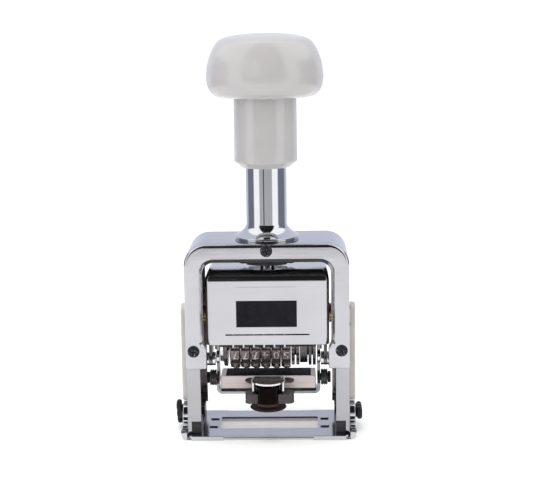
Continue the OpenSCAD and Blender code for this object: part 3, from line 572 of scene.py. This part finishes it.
# ---- Return spring ----
# Drawn steel wire round the rod, from the tube's floor to the nut in the knob. It closes up as the knob goes
# down.

spring_steel = finish(
    "spring_steel", (0.62, 0.63, 0.66), (0.54, 0.55, 0.58), (0.16, 0.3), patch=300, grain=3000, depth=0.001,
    Metallic=1.0,
)


def coil(radius, wire, low, high, turns, steps=36, sides=12):
    """Round wire swept along a helix whose rise eases out over its first and last turn, so the ends lie
    flat."""
    a = np.linspace(0, 2 * np.pi * turns, turns * steps + 1)
    share = a / a[-1]
    ease = 1 / turns
    start, end = share**2 / (2 * ease), 1 - ease - (1 - share) ** 2 / (2 * ease)
    rise = np.where(share < ease, start, np.where(share > 1 - ease, end, share - ease / 2))
    height = low + (high - low) * rise / rise[-1]
    b = around(sides)
    a, height, r = a[:, None], height[:, None], radius + wire * np.cos(b)[None]
    grid = np.stack([r * np.cos(a), r * np.sin(a), height + wire * np.sin(b)[None]], axis=-1)
    middles = grid.mean(axis=1, keepdims=True) + 0 * grid
    return skin(np.concatenate([middles[:1], grid, middles[-1:]]))


wound_wire = coil(radius=4.9, wire=0.6, low=81.55, high=148.2, turns=12)
spring = put("return_spring", "frame", spring_steel, [wound_wire], ["main_spring"])
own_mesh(spring)

# ---- Thumb screws ----
# Blackened die-cast wing screws. Each shank passes the foot's ear and the leg's wall and clamps the two
# together.


def wing_screw(hand, turn):
    """Two lobes joined by a waist, as a plate with its edges rounded over half its thickness, on a turned
    boss and a threaded shank; then turned about X by the angle and set at the shank's height."""
    wing_x, wing_end, tip_x = 35.7, 37.9, 31.0
    lobe = polar(2.6, np.radians(np.linspace(-128, 128, 28)), (3.3, 0))
    parts = plate(np.concatenate([lobe, -lobe]), wing_x + 0.05, wing_end, 0.95, axes=facing_x, steps=7)
    boss = eased([
        (0, wing_x - 0.35, 0.01), (2.9, wing_x - 0.35, 0.3), (2.6, wing_end, 0.6), (0, wing_end, 0.01),
    ])
    parts.append(turned(boss, axes=facing_x, sides=64))
    along = np.arange(tip_x, wing_x - 0.4, 0.22)
    thread = np.column_stack([np.where(np.arange(len(along)) % 2, 1.78, 1.58), along])
    parts.append(turned(np.concatenate([[(0, tip_x)], thread, [(0, along[-1])]]), axes=facing_x, sides=48))
    set_parts = []
    for spots, faces in parts:
        x, y, z = spots.T
        y, z = spun(y, z, turn)
        set_parts.append((np.column_stack([hand * x, y, z + shank_z]), faces))
    return set_parts


put("left_wing_screw", "left_thumb", black_oxide, wing_screw(-1, -62), ["left_thumb_screw"])
put("right_wing_screw", "right_thumb", black_oxide, wing_screw(1, 0), ["right_thumb_screw"])

# ---- Knob and sleeve ----
# The mushroom knob is moulded in glossy off-white plastic, pushed over the neck of a sleeve of the same stuff
# that slides over the tube. A steel nut inside takes the rod's end.

knob_plastic = finish(
    "knob_plastic", (0.448, 0.436, 0.433), (0.42, 0.408, 0.405), (0.12, 0.2), patch=60, grain=700,
    depth=0.0015, Coat_Weight=0.25, Coat_Roughness=0.22, Subsurface_Weight=0.12,
    Subsurface_Radius=(0.003, 0.0025, 0.002), Specular_IOR_Level=0.55,
)


def smooth_through(points, count):
    """Points along a Catmull-Rom curve through the given ones: on each span the cubic whose end slopes are
    half the difference of the neighbours, evaluated for all spans at once."""
    points = np.asarray(points, float)
    padded = np.concatenate([2 * points[:1] - points[1:2], points, 2 * points[-1:] - points[-2:-1]])
    t = np.linspace(0, len(points) - 1, count)
    i = np.minimum(t.astype(int), len(points) - 2)
    f = (t - i)[:, None]
    a, b, c, d = padded[i], padded[i + 1], padded[i + 2], padded[i + 3]
    return 0.5 * (2 * b + (c - a) * f + (2 * a - 5 * b + 4 * c - d) * f**2 + (3 * b - a - 3 * c + d) * f**3)


knob_r, knob_low, knob_h, neck_r = 23.0, 135.25, 24.8, 10.6
dome = smooth_through([
    (0.68, 0.0), (0.79, 0.014), (0.885, 0.055), (0.95, 0.125), (0.988, 0.22), (1.0, 0.33), (0.99, 0.44),
    (0.968, 0.55), (0.935, 0.65), (0.89, 0.745), (0.84, 0.825), (0.785, 0.885), (0.7, 0.93), (0.56, 0.962),
    (0.38, 0.985), (0.18, 0.998), (0.0, 1.0),
], 170) * (knob_r, knob_h) + (0, knob_low)
cavity = [(0, 152.05), (10.0, 152.05), (neck_r, 151.4), (neck_r, knob_low + 0.4), (neck_r + 0.4, knob_low)]
cap = turned(np.concatenate([cavity, dome]), sides=224)
put("mushroom_knob", "carriage", knob_plastic, [cap], ["knob_cap"])

sleeve_low, sleeve_top, sleeve_bore = 107.95, 144.25, 8.65
sleeve = eased([
    (9.2, sleeve_low, 0.3), (9.9, sleeve_low, 0.25), (12.5, sleeve_low + 2.3, 0.8),
    (12.3, knob_low - 0.05, 0.15), (10.5, knob_low - 0.05, 0.1), (10.5, sleeve_top, 0.3),
    (sleeve_bore, sleeve_top, 0.2), (sleeve_bore, sleeve_low + 2.2, 1.0),
])
sleeve = turned(sleeve, sides=192)
put("knob_sleeve_tube", "carriage", knob_plastic, [sleeve], ["knob_sleeve"])
refined("knob_nut", 0.25, grey_steel, "carriage")

# ---- Rod and carriage ----
# A ground rod joins the knob to a steel block between two side plates, which carry the shaft, the tie rods
# and the guide studs with their brass bushes.

bright_steel = finish(
    "bright_steel", (0.74, 0.74, 0.76), (0.66, 0.66, 0.69), (0.1, 0.2), patch=260, grain=4200,
    depth=0.0008, Metallic=1.0,
)
dark_steel = finish(
    "dark_steel", (0.14, 0.128, 0.135), (0.06, 0.055, 0.06), (0.2, 0.34), patch=500,
    grain=(4200, 900, 900), depth=0.003, wear_and_glint=(0.5, 0.5, 0.5), wear_and_glint_share=0.6, Metallic=0.9,
)
brass = finish(
    "turned_brass", (0.68, 0.5, 0.22), (0.56, 0.4, 0.17), (0.16, 0.3), patch=260, grain=(5200, 700, 700),
    depth=0.001, Metallic=1.0,
)
for name, radius, material, slot in (
    ("plunger_rod", 0.3, bright_steel, "bright_steel"), ("carriage_block", 0.3, grey_steel, "grey_steel"),
    ("left_side_plate", 0.15, dark_steel, "grey_steel"), ("right_side_plate", 0.15, dark_steel, "grey_steel"),
    ("guide_studs", 0.15, bright_steel, "bright_steel"), ("guide_bushes", 0.15, brass, "brass"),
    ("wheel_shaft", 0.2, bright_steel, "bright_steel"), ("shaft_collars", 0.15, bright_steel, "bright_steel"),
    ("detent_rod", 0.2, bright_steel, "bright_steel"), ("detent_springs", 0.08, spring_steel, "spring_steel"),
    ("tie_rods", 0.2, bright_steel, "bright_steel"), ("pointer_comb", 0.04, spring_steel, "spring_steel"),
):
    refined(name, radius, material, "carriage")

# The side plates' lower screws are bright, with wide turned heads on both faces of the plate
heads, head_r, head_place = [], 2.7, (-6, 30.9)
for hand in (-1, 1):
    for low, high in ((23.67, 24.95), (21.15, 22.43)):
        disc = oblong(0, low, head_r, high, (0.01, 0.15, 0.3, 0.01))
        spots, corners = turned(disc, middle=head_place, axes=facing_x, sides=96)
        heads.append((spots * (hand, 1, 1), corners))
put("side_plate_screw_heads", "carriage", bright_steel, heads, ["side_plate_screws"])

# ---- Case ----
# A drawn and chromed sheet cover over the wheels, rounded along every upper edge, with one long slit low in
# its front. A flat plate closes the back. The knob presses the whole case down.

case_chrome = finish(
    "case_chrome", (0.515, 0.512, 0.536), (0.47, 0.468, 0.49), (0.07, 0.14), patch=60,
    grain=(420, 420, 4200), depth=0.001, Metallic=1.0,
)
case_x, case_y, case_low, case_top, case_t = 24.5, 12.6, 38.3, 67.8, 0.8


def rounded_box(half_x, half_y, low, high, upright, across, along, rise):
    """Open-bottomed shell on the grid (profile, plan). Going up, the plan, a rounded rectangle, is inset by
    across (1 - cos a) in x and along (1 - cos a) in y while it rises by rise sin a, its corners' radius
    falling from upright to a third of it; then it closes flat to the middle."""
    a = np.concatenate([[0.0, 0.0], np.linspace(0, np.pi / 2, 18)])
    z = np.concatenate([[low, (low + high) / 2], high - rise + rise * np.sin(a[2:])])
    grid = []
    for t, h in zip(a, z):
        x, y = half_x - across * (1 - math.cos(t)), half_y - along * (1 - math.cos(t))
        plan = oblong(-x, -y, x, y, upright * (1 - 0.66 * t / (np.pi / 2)), steps=14)
        grid.append(np.column_stack([plan, np.full(len(plan), h)]))
    grid += [grid[-1] * (share, share, 1) for share in (0.97, 0.6, 0.0)]
    return np.stack(grid)


outer = rounded_box(case_x, case_y, case_low, case_top, upright=1.8, across=3.2, along=5.0, rise=4.0)
inner = rounded_box(
    case_x - case_t, case_y - case_t, case_low, case_top - case_t,
    upright=1.0, across=2.5, along=4.3, rise=3.3,
)
shell = np.concatenate([outer[::-1], inner])
case = put("case_shell", "carriage", case_chrome, [skin(shell)], ["case_cover"])
slit = oblong(-16.7, 42.1, 16.7, 42.65, 0.27, steps=6)
rear = oblong(case_t - case_x, 30, case_x - case_t, 63.95, (0.3, 0.3, 1.0, 1.0), steps=6)
tools = plate(slit, -14, -10, 0, axes=facing_y, steps=1) + plate(rear, 11.7, 14, 0, axes=facing_y, steps=1)
cut(case, tools, 0.12)
refined("rear_cover", 0.2, case_chrome, "carriage")

# A black strip inside the cover's lower edge is the case's painted shadow on the wheels behind the pointers.
shade = plate(oblong(-19.2, 37.2, 19.2, 40.5, 0.1), -11.56, -11.44, 0.04, axes=facing_y, steps=2)
put("painted_shadow_strip", "carriage", black_oxide, shade)

# The label is a bare silver film with a plain black field. It carries no words.
label_black = finish(
    "label_black_field", (0.008, 0.008, 0.01), (0.014, 0.014, 0.017), (0.25, 0.38), patch=300, grain=3000,
    depth=0.001, Specular_IOR_Level=0.06,
)
film = plate(oblong(-12.5, 45.3, 11.9, 61.7, 0.8), -12.67, -12.6, 0.03, axes=facing_y, steps=2)
field = plate(oblong(-12.3, 45.5, 11.7, 56.2, 0.25), -12.71, -12.64, 0.02, axes=facing_y, steps=2)
put("label_sheet", "carriage", case_chrome, film, ["case_label"])
put("label_field", "carriage", label_black, field)

# ---- Number wheels ----
# Six engraved wheels of type metal, dark with old ink and worn bright at the edges, with ten raised figures
# each, cut in reverse because they print. A ten-toothed ratchet on each wheel's left lets the pawls step it
# on the shaft.

type_metal = finish(
    "inked_type_metal", (0.26, 0.22, 0.22), (0.07, 0.06, 0.063), (0.22, 0.45), patch=900, grain=3600,
    depth=0.006, wear_and_glint=(0.52, 0.47, 0.47), wear_and_glint_share=0.8, Metallic=0.85,
)
axis_z, wheel_r, type_h, first_wheel, pitch, wheel_bore = 36.7, 11.3, 1.5, -13.3, 4.1, 2.05
figure_w, figure_h, figure_d = 2.15, 3.6, 0.55


def figure(sign):
    """The sign's outline from the built-in type, filled, made solid and scaled to the figures' width, height
    and depth, its middle at zero and its face at z = 0, as (points, faces)."""
    letter = bpy.data.curves.new("figure", "FONT")
    letter.body, letter.extrude, letter.size, letter.resolution_u, letter.offset = sign, 0.5, 1.0, 4, 0.012
    holder = shown("figure", letter)
    mesh = evaluated(holder)
    mesh.calc_loop_triangles()
    spots, faces = read(mesh.vertices, "co", 3), read(mesh.loop_triangles, "vertices", 3, int)
    bpy.data.objects.remove(holder)
    bpy.data.meshes.remove(mesh)
    low, high = spots.min(0), spots.max(0)
    spots = (spots - (low + high) / 2) / (high - low) * (figure_w, figure_h, figure_d)
    return spots - (0, 0, figure_d / 2), faces


def on_shaft(profile, sides=160):
    """A form turned about the wheels' shaft from its closed (radius, x) profile."""
    return turned(profile, middle=(0, axis_z), sides=sides, axes=facing_x)


def wheel_parts(x, first):
    """One wheel about X: a waisted drum, ten type blocks with arched faces, their figures wrapped round the
    rim (angle = height / radius, mirrored along the shaft), and a sawtooth ratchet."""
    body, low, high = wheel_r - type_h, x - 1.35, x + 1.85
    rim = eased([(wheel_bore, low, 0.1), (body - 0.35, low, 0.3), (body, high, 0.3), (wheel_bore, high, 0.1)])
    parts = [on_shaft(rim, sides=120)]
    a = np.radians(np.linspace(0, 360, 121)[:-1])
    saw = (wheel_r - 0.7) - 1.0 * ((a * 10 / (2 * np.pi)) % 1)
    parts += plate(polar(saw, a, (0, axis_z)), x - 2.0, x - 1.44, 0.05, axes=facing_x)
    block = oblong(-1.4, -2.25, 1.8, 2.25, 0.3, steps=4)
    for k in range(10):
        middle = math.radians(90 - 36 * k)
        shapes = plate(block, body - 0.6, wheel_r - 0.42, 0.12)
        spots, faces = figure(str((first + k) % 10))
        shapes.append((spots * (-1, 1, 1) + (0.2, 0, wheel_r - 0.01), faces))
        for spots, faces in shapes:
            across, along, out = spots.T
            turn = middle + along / wheel_r
            parts.append((np.column_stack([x + across, polar(out, turn, (0, axis_z))]), faces))
    return parts


for number, first in enumerate((0, 0, 0, 7, 3, 8)):
    put(
        f"figure_wheel_{number + 1}", f"wheel_{number + 1}", type_metal,
        wheel_parts(first_wheel + number * pitch, first), [f"number_wheel_{number + 1}"],
    )

# ---- Repeat set ----
# Two toothed discs and a dark drum with bright rims right of the figures count how often a number is
# repeated. A plain steel disc closes the row at its left end.

ratchet, set_x, bore_r, hub_r = [], first_wheel + 5.5 * pitch, 2.06, 6
a = around(240)
toothed = polar(9.45 + 0.5 * np.clip(3.2 * np.cos(12 * a), -1, 1), a, (0, axis_z))
bore = polar(bore_r, around(40), (0, axis_z))
for x in (0.1, 2.0):
    ratchet += plate(toothed, set_x + x, set_x + x + 1.35, 0.1, [bore], axes=facing_x)
ratchet.append(on_shaft(oblong(bore_r, set_x + 1.4, hub_r, set_x + 2.1, 0.1)))
put("repeat_ratchet_discs", "repeat_set", dark_steel, ratchet, ["repeat_ratchet"])
drum_x = set_x + 3.5
drum = eased([
    (bore_r, drum_x, 0.1), (9, drum_x, 0.25), (9, drum_x + 3.1, 0.25), (hub_r, drum_x + 3.1, 0.2),
    (hub_r, drum_x + 3.5, 0.1), (10, drum_x + 3.5, 0.15), (10, drum_x + 4.7, 0.15),
    (hub_r, drum_x + 4.7, 0.1), (hub_r, drum_x + 5.2, 0.1), (10, drum_x + 5.2, 0.15),
    (10, drum_x + 6.4, 0.15), (bore_r, drum_x + 6.4, 0.1),
], 5)
put("repeat_cam_drum", "repeat_set", dark_steel, [on_shaft(drum)], ["repeat_cam"])
end = oblong(bore_r, -17.8, 10.2, -16.3, (0.1, 0.25, 0.25, 0.1))
put("end_disc", "carriage", dark_steel, [on_shaft(end)], ["left_end_disc"])

# ---- Stepping pawl ----
# A stamped rocker on the rear tie rod carries a comb of pawls, one for each wheel.

refined("pawl_rocker", 0.15, grey_steel, "rocker")
refined("pawl_comb", 0.06, spring_steel, "rocker")

# ---- Pad bracket ----
# A U-shaped bracket of nickelled strip swings on the shaft and brings the pad up to the figures. Dark rollers
# run on studs outside its arms, and a turned boss stands on each arm. The web below the tray is coloured
# nearly black as the tray's painted shadow.

nickel = finish(
    "dull_nickel", (0.25, 0.245, 0.26), (0.17, 0.165, 0.18), (0.14, 0.26), patch=260, grain=3600,
    depth=0.002, wear_and_glint=(0.55, 0.54, 0.55), wear_and_glint_share=0.4, Metallic=1.0,
)
# Painted shadow: the web's top under the tray is nearly black.
dull_coat_and_painted_shade(nickel, half_x=19.2, front=-7.85, rear=12.0, top=18.9, colour=(0.02, 0.018, 0.02))
refined("pad_bracket", 0.2, nickel, "pad_arm")
# Painted highlight: the light edge colour of the rollers stands for their glints.
rubber = finish(
    "black_rubber", (0.016, 0.015, 0.018), (0.034, 0.032, 0.034), (0.3, 0.5), patch=500, grain=3000,
    depth=0.01, wear_and_glint=(0.5, 0.48, 0.5), wear_and_glint_share=0.9, Specular_IOR_Level=0.6, Coat_Weight=1.0,
    Coat_Roughness=0.06,
)
tyre_r, groove_r, roller_place, boss_place = 3.3, 3.0, (-1, 21.6), (-3.0, 30.9)
tyre = [(1.6, 21.2, 0.1), (tyre_r, 21.2, 0.4)]
for low, high in ((22.0, 22.4), (23.0, 23.35)):
    tyre += [(tyre_r, low, 0.1), (groove_r, low + 0.1, 0.1), (groove_r, high - 0.1, 0.1), (tyre_r, high, 0.1)]
tyre = eased(tyre + [(tyre_r, 23.9, 0.4), (1.6, 23.9, 0.1)])
stud = eased([
    (0, 19.8, 0.01), (1.5, 19.8, 0.1), (1.5, 24.05, 0.02), (2.3, 24.05, 0.1), (2.3, 25.2, 0.35),
    (0, 25.2, 0.01),
])
boss = oblong(0, 19.72, 2.7, 21.05, (0, 0.2, 0.35, 0))
rollers, studs, bosses = [], [], []
for group, outline, spot in (
    (rollers, tyre, roller_place), (studs, stud, roller_place), (bosses, boss, boss_place),
):
    spots, faces = turned(outline, middle=spot, axes=facing_x, sides=72)
    group += [(spots * (hand, 1, 1), faces) for hand in (-1, 1)]
put("roller_tyres", "pad_arm", rubber, rollers, ["pad_rollers"])
put("roller_stud_heads", "pad_arm", black_oxide, studs, ["roller_studs"])
put("arm_bosses", "pad_arm", bright_steel, bosses)

# ---- Pad tray and ink pad ----
# A cream enamelled tray holds a felt pad soaked with black ink, and slides out forwards between the bracket's
# arms for a new pad. The felt is a little crowned and rounded over at its edges.

cream_enamel = finish(
    "cream_enamel", (0.57, 0.5, 0.5), (0.52, 0.45, 0.44), (0.12, 0.22), patch=130, grain=1800,
    depth=0.002, wear_and_glint=(0.36, 0.3, 0.27), wear_and_glint_share=0.35, Coat_Weight=0.15, Coat_Roughness=0.08,
)
tray_top, tray_low = 24.2, 19.0
tray = oblong(-19.1, -8.4, 19.1, 3.4, (0.7, 0.7, 0.5, 0.5))
pocket = oblong(-17.1, -7.5, 17.1, 3.1, 0.4)
parts = plate(tray, tray_low + 2.2, tray_top, 0.22, [pocket]) + plate(tray, tray_low, tray_low + 2.45, 0.4)
put("enamelled_tray", "pad_drawer", cream_enamel, parts, ["pad_tray"])

felt_black = finish(
    "inked_felt", (0.006, 0.006, 0.009), (0.013, 0.012, 0.016), (0.5, 0.85), patch=1800, grain=5200,
    depth=0.05, Sheen_Weight=0.03, Sheen_Roughness=0.5, Specular_IOR_Level=0.1,
)


def felt(half_x, half_y, middle_y, low, high, corner):
    """A crowned pad on the grid (ring, round): its plan, a rectangle with eased corners and points 0.6 apart,
    is drawn in ring by ring; its side bulges by 0.12 between the two seams, and its top falls by 0.22 d^6
    towards the rim (d = 1 there) with a fine lumpy nap on it."""
    plan = thinned(oblong(-half_x, -half_y, half_x, half_y, corner, steps=10))
    extra = []
    for p, q in zip(plan, np.roll(plan, -1, 0)):
        steps = 1 + int(np.linalg.norm(q - p) / 0.6)
        extra.append(p + (q - p) * np.linspace(0, 1, steps, endpoint=False)[:, None])
    plan = np.concatenate(extra)
    full = np.array([half_x, half_y])
    rows = []
    for t in np.linspace(0, np.pi, 13):
        out = 0.12 * np.sin(t) - 0.25 * (1 - np.sin(t)) ** 2
        height = low + (high - 0.25 - low) * (1 - np.cos(t)) / 2
        rows.append(np.column_stack([plan * (full + out) / full, np.full(len(plan), height)]))
    for share in np.linspace(0.985, 0, 22):
        x, y = plan.T * share
        lump = 0.03 * np.sin(4.1 * x + 1.3) * np.sin(5.3 * y) + 0.02 * np.sin(9.7 * x)
        rows.append(np.column_stack([x, y, high - 0.22 * share**6 + lump * (1 - share**8)]))
    rows.append(np.column_stack([plan * 0, np.full(len(plan), high)]))
    rows.insert(0, np.column_stack([plan * 0, np.full(len(plan), low)]))
    grid = np.stack(rows)
    return skin(grid + (0, middle_y, 0))


form = felt(half_x=16.75, half_y=5.0, middle_y=-2.2, low=21.62, high=24.46, corner=0.9)
pad = put("felt_pad", "pad_drawer", felt_black, [form], ["ink_pad"])

# ---- Pad knob ----
# The drawer is pulled out by a small turned knob with a flared lip, in black lacquer worn through to the
# bronze. Its bell is lighter and a shade redder than its neck: partly the bronze's own colour, partly painted
# shade on the neck. A bright strap joins it to the tray over a red-bronze disc with two lobes, and a dark
# oval collar stands out at both its sides.

bronze = finish(
    "dark_bronze", (0.004, 0.003, 0.003), (0.009, 0.006, 0.005), (0.08, 0.18), patch=420,
    grain=(1600, 1600, 5200), depth=0.002, wear_and_glint=(0.1, 0.06, 0.05), wear_and_glint_share=0.4, Specular_IOR_Level=0.2,
)
knob_y, bell, neck, bell_top = -13.7, 12.9, 5.1, 15.4
# Partly painted shade: the neck keeps the darker lacquer, while the bell below bell_top is coloured a lighter
# red-brown.
dull_coat_and_painted_shade(bronze, half_x=9.0, front=-30.0, rear=10.0, top=bell_top, colour=(0.028, 0.014, 0.013))
body = eased([
    (0, bell + 0.5, 0), (5.6, bell + 0.35, 0.6), (6.9, bell + 0.02, 0.12), (7.3, bell + 0.3, 0.1),
    (6.3, bell + 1.1, 1.2), (5.3, bell + 1.9, 0.8), (neck, bell + 4.4, 0.5), (neck, bell + 9.3, 0.4),
    (4.5, bell + 9.9, 0.3), (0, bell + 9.9, 0),
])
body = turned(body, middle=(0, knob_y), sides=120)
put("turned_pad_knob", "pad_drawer", bronze, [body], ["pad_knob"])
dark_plastic = finish(
    "dark_plastic", (0.034, 0.027, 0.029), (0.048, 0.039, 0.042), (0.3, 0.45), patch=260, grain=2600,
    depth=0.004,
)
halves, bore_r, half_d, lobe_ends = [], neck + 0.07, 3.2, ((-1, -9.1), (1, 10.3))
front, rear, reach = knob_y - half_d, knob_y + half_d, math.sqrt(bore_r**2 - half_d**2)
inside = polar(bore_r, math.asin(half_d / bore_r) * np.linspace(1, -1, 17), (0, knob_y))
for hand, end in lobe_ends:
    tip = oblong(hand * reach, front, end, rear, (0, 2.4, 2.4, 0), steps=14)
    halves += plate(np.concatenate([inside * (hand, 1), thinned(tip)[1:-1]]), 15.2, 19.15, 0.12)
put("oval_collar", "pad_drawer", dark_plastic, halves, ["knob_collar"])
refined("tray_clip", 0.12, bright_steel, "pad_drawer")
round_part = np.minimum(polar(5.75, around(96), (0, knob_y)), (6, -8.6))
disc = plate(round_part, 24.02, 24.17, 0.06, steps=2)
front, rear, reach = knob_y - 2.4, knob_y + 3.6, 6.72
for hand, end in lobe_ends:
    lobe = oblong(hand * reach, front, end, rear, (0.1, 2.6, 2.6, 0.1), steps=14)
    disc += plate(lobe, 23.5, 24.1, 0.1)
red_bronze = finish(
    "red_bronze", (0.05, 0.035, 0.034), (0.022, 0.016, 0.016), (0.25, 0.4), patch=700, grain=2600,
    depth=0.004, wear_and_glint=(0.2, 0.16, 0.15), wear_and_glint_share=0.5, Specular_IOR_Level=0.3,
)
put("clip_disc", "pad_drawer", red_bronze, disc)

# ---- Camera and studio ----
# A long lens looks a little down on a wide pale floor. A broad light hangs overhead and a weak one stands
# front left, and a closed drum of bright and dark panels gives the chrome something to mirror.

focal_px, width_px, sensor, distance, eye_z, shift_px = 1217, 540, 36.0, 0.48, 0.165, 3
camera = bpy.data.cameras.new("camera")
camera.sensor_width, camera.lens = sensor, focal_px * sensor / width_px
camera.clip_start, camera.clip_end = 0.01, 50
camera.dof.use_dof = False
eye = shown("camera", camera)
azimuth, dip, roll = (math.radians(degrees) for degrees in (1.5, 10.25, 0.8))
shift = math.atan(shift_px / focal_px)
view = Matrix.Translation((distance * math.sin(azimuth), -distance * math.cos(azimuth), eye_z))
for turn, axis in ((azimuth, "Z"), (math.pi / 2 - dip, "X"), (-shift, "Y"), (-roll, "Z")):
    view = view @ Matrix.Rotation(turn, 4, axis)
eye.matrix_world = view
bpy.context.scene.camera = eye

# The floor is one wide pale sheet that glows enough to meet the white beyond it without a line
floor_white = bpy.data.materials.new("pale_floor")
floor_white.use_nodes = True
shader = floor_white.node_tree.nodes["Principled BSDF"]
for key, value in (
    ("Base Color", (0.78, 0.78, 0.785, 1)), ("Emission Color", (1, 1, 1, 1)), ("Emission Strength", 0.2),
    ("Roughness", 0.9), ("Specular IOR Level", 0.1),
):
    shader.inputs[key].default_value = value
rim = polar(9, around(96))
mesh = bpy.data.meshes.new("floor_sheet")
mesh.from_pydata(np.column_stack([rim, 0 * rim[:, 0]]).tolist(), [], [list(range(96))])
mesh.materials.append(floor_white)
floor = shown("floor_sheet", mesh)

# What polished metal mirrors: a drum of panels with a lid, which only mirror rays see. From the front it goes
# round from grey, with one black strip left of the middle, by way of white (36 to 72 degrees) and dark to
# blue-grey behind. Above 0.07 m its front is black, and above 0.3 m its sides are white.
panels = bpy.data.materials.new("studio_panels")
panels.use_nodes = True
tree = panels.node_tree
tree.nodes.remove(tree.nodes["Principled BSDF"])
part = node(tree, "SeparateXYZ", [("Vector", node(tree, "TexCoord").outputs["Object"])]).outputs
angle = maths(tree, "ARCTAN2", part["X"], maths(tree, "MULTIPLY", part["Y"], -1.0))
share = ramped(tree, angle, -math.pi, math.pi)


def both(*stops):
    """The (degrees, colour) stops, and before them their mirror images left of the front."""
    return [(-degrees, colour) for degrees, colour in reversed(stops)] + list(stops)


def bands(stops):
    """A colour ramp over the angle, from (degrees, colour) stops that follow one at the rear."""
    ramp = node(tree, "ValToRGB", [("Fac", share)])
    points, stops = ramp.color_ramp.elements, [(-180, behind)] + stops
    while len(points) < len(stops):
        points.new(0.5)
    for point, (degrees, colour) in zip(points, stops):
        point.position = (degrees + 180) / 360
        point.color = (*colour, 1)
    return ramp.outputs["Color"]


behind, dark, white = (0.79, 0.82, 0.95), (0.25, 0.265, 0.33), (1.5, 1.5, 1.52)
grey, black = (0.62, 0.62, 0.64), (0.02,) * 3
low = bands([
    (-128, behind), (-118, dark), (-76, dark), (-70, white), (-40, white), (-36, grey), (-17, grey),
    (-15, black), (-12, black), (-10, grey), (32, grey), (36, white), (66, white), (72, dark), (120, dark),
    (130, behind),
])
high = bands(both((38, black), (46, white), (70, white), (76, dark), (118, dark), (128, behind)))
crown = bands(both((38, black), (46, white), (118, white), (128, behind)))
lower = blend(tree, ramped(tree, part["Z"], 0.06, 0.085), low, high)
mirrored = blend(tree, ramped(tree, part["Z"], 0.28, 0.34), lower, crown)
glow = node(tree, "Emission", [("Color", mirrored), ("Strength", 1.0)])
tree.links.new(glow.outputs[0], tree.nodes["Material Output"].inputs["Surface"])
rings = ((0.45, 0.0005), (0.45, 0.4), (0.45, 0.8), (0.45, 1.2), (0.3, 1.2), (0.15, 1.2), (0.005, 1.2))
spots, faces = skin(np.stack([np.column_stack([polar(r, around(128)), np.full(128, z)]) for r, z in rings]))
mesh = bpy.data.meshes.new("studio_drum")
mesh.from_pydata(spots.tolist(), [], faces.tolist())
mesh.materials.append(panels)
surround = shown("studio_drum", mesh)
for ray in ("camera", "diffuse", "transmission", "volume_scatter", "shadow"):
    setattr(surround, "visible_" + ray, False)


def lamp(name, place, aim, size, power):
    """A rectangular soft light at place, facing aim."""
    light = bpy.data.lights.new(name, "AREA")
    light.shape, light.size, light.size_y, light.energy = "RECTANGLE", *size, power
    holder = shown(name, light)
    holder.location = place
    holder.rotation_euler = (Vector(aim) - Vector(place)).to_track_quat("-Z", "Y").to_euler()


lamp("overhead_light", (-0.1, 0.0, 1.3), (0, 0, 0.06), (0.9, 0.7), 7.5)
lamp("left_light", (-0.4, -0.9, 0.45), (0, 0, 0.09), (0.5, 0.5), 1.2)

world = bpy.data.worlds.new("studio")
bpy.context.scene.world = world
world.use_nodes = True
world.node_tree.nodes["Background"].inputs["Color"].default_value = (1, 1, 1, 1)
world.node_tree.nodes["Background"].inputs["Strength"].default_value = 1.05
bpy.context.scene.view_settings.view_transform = "Standard"
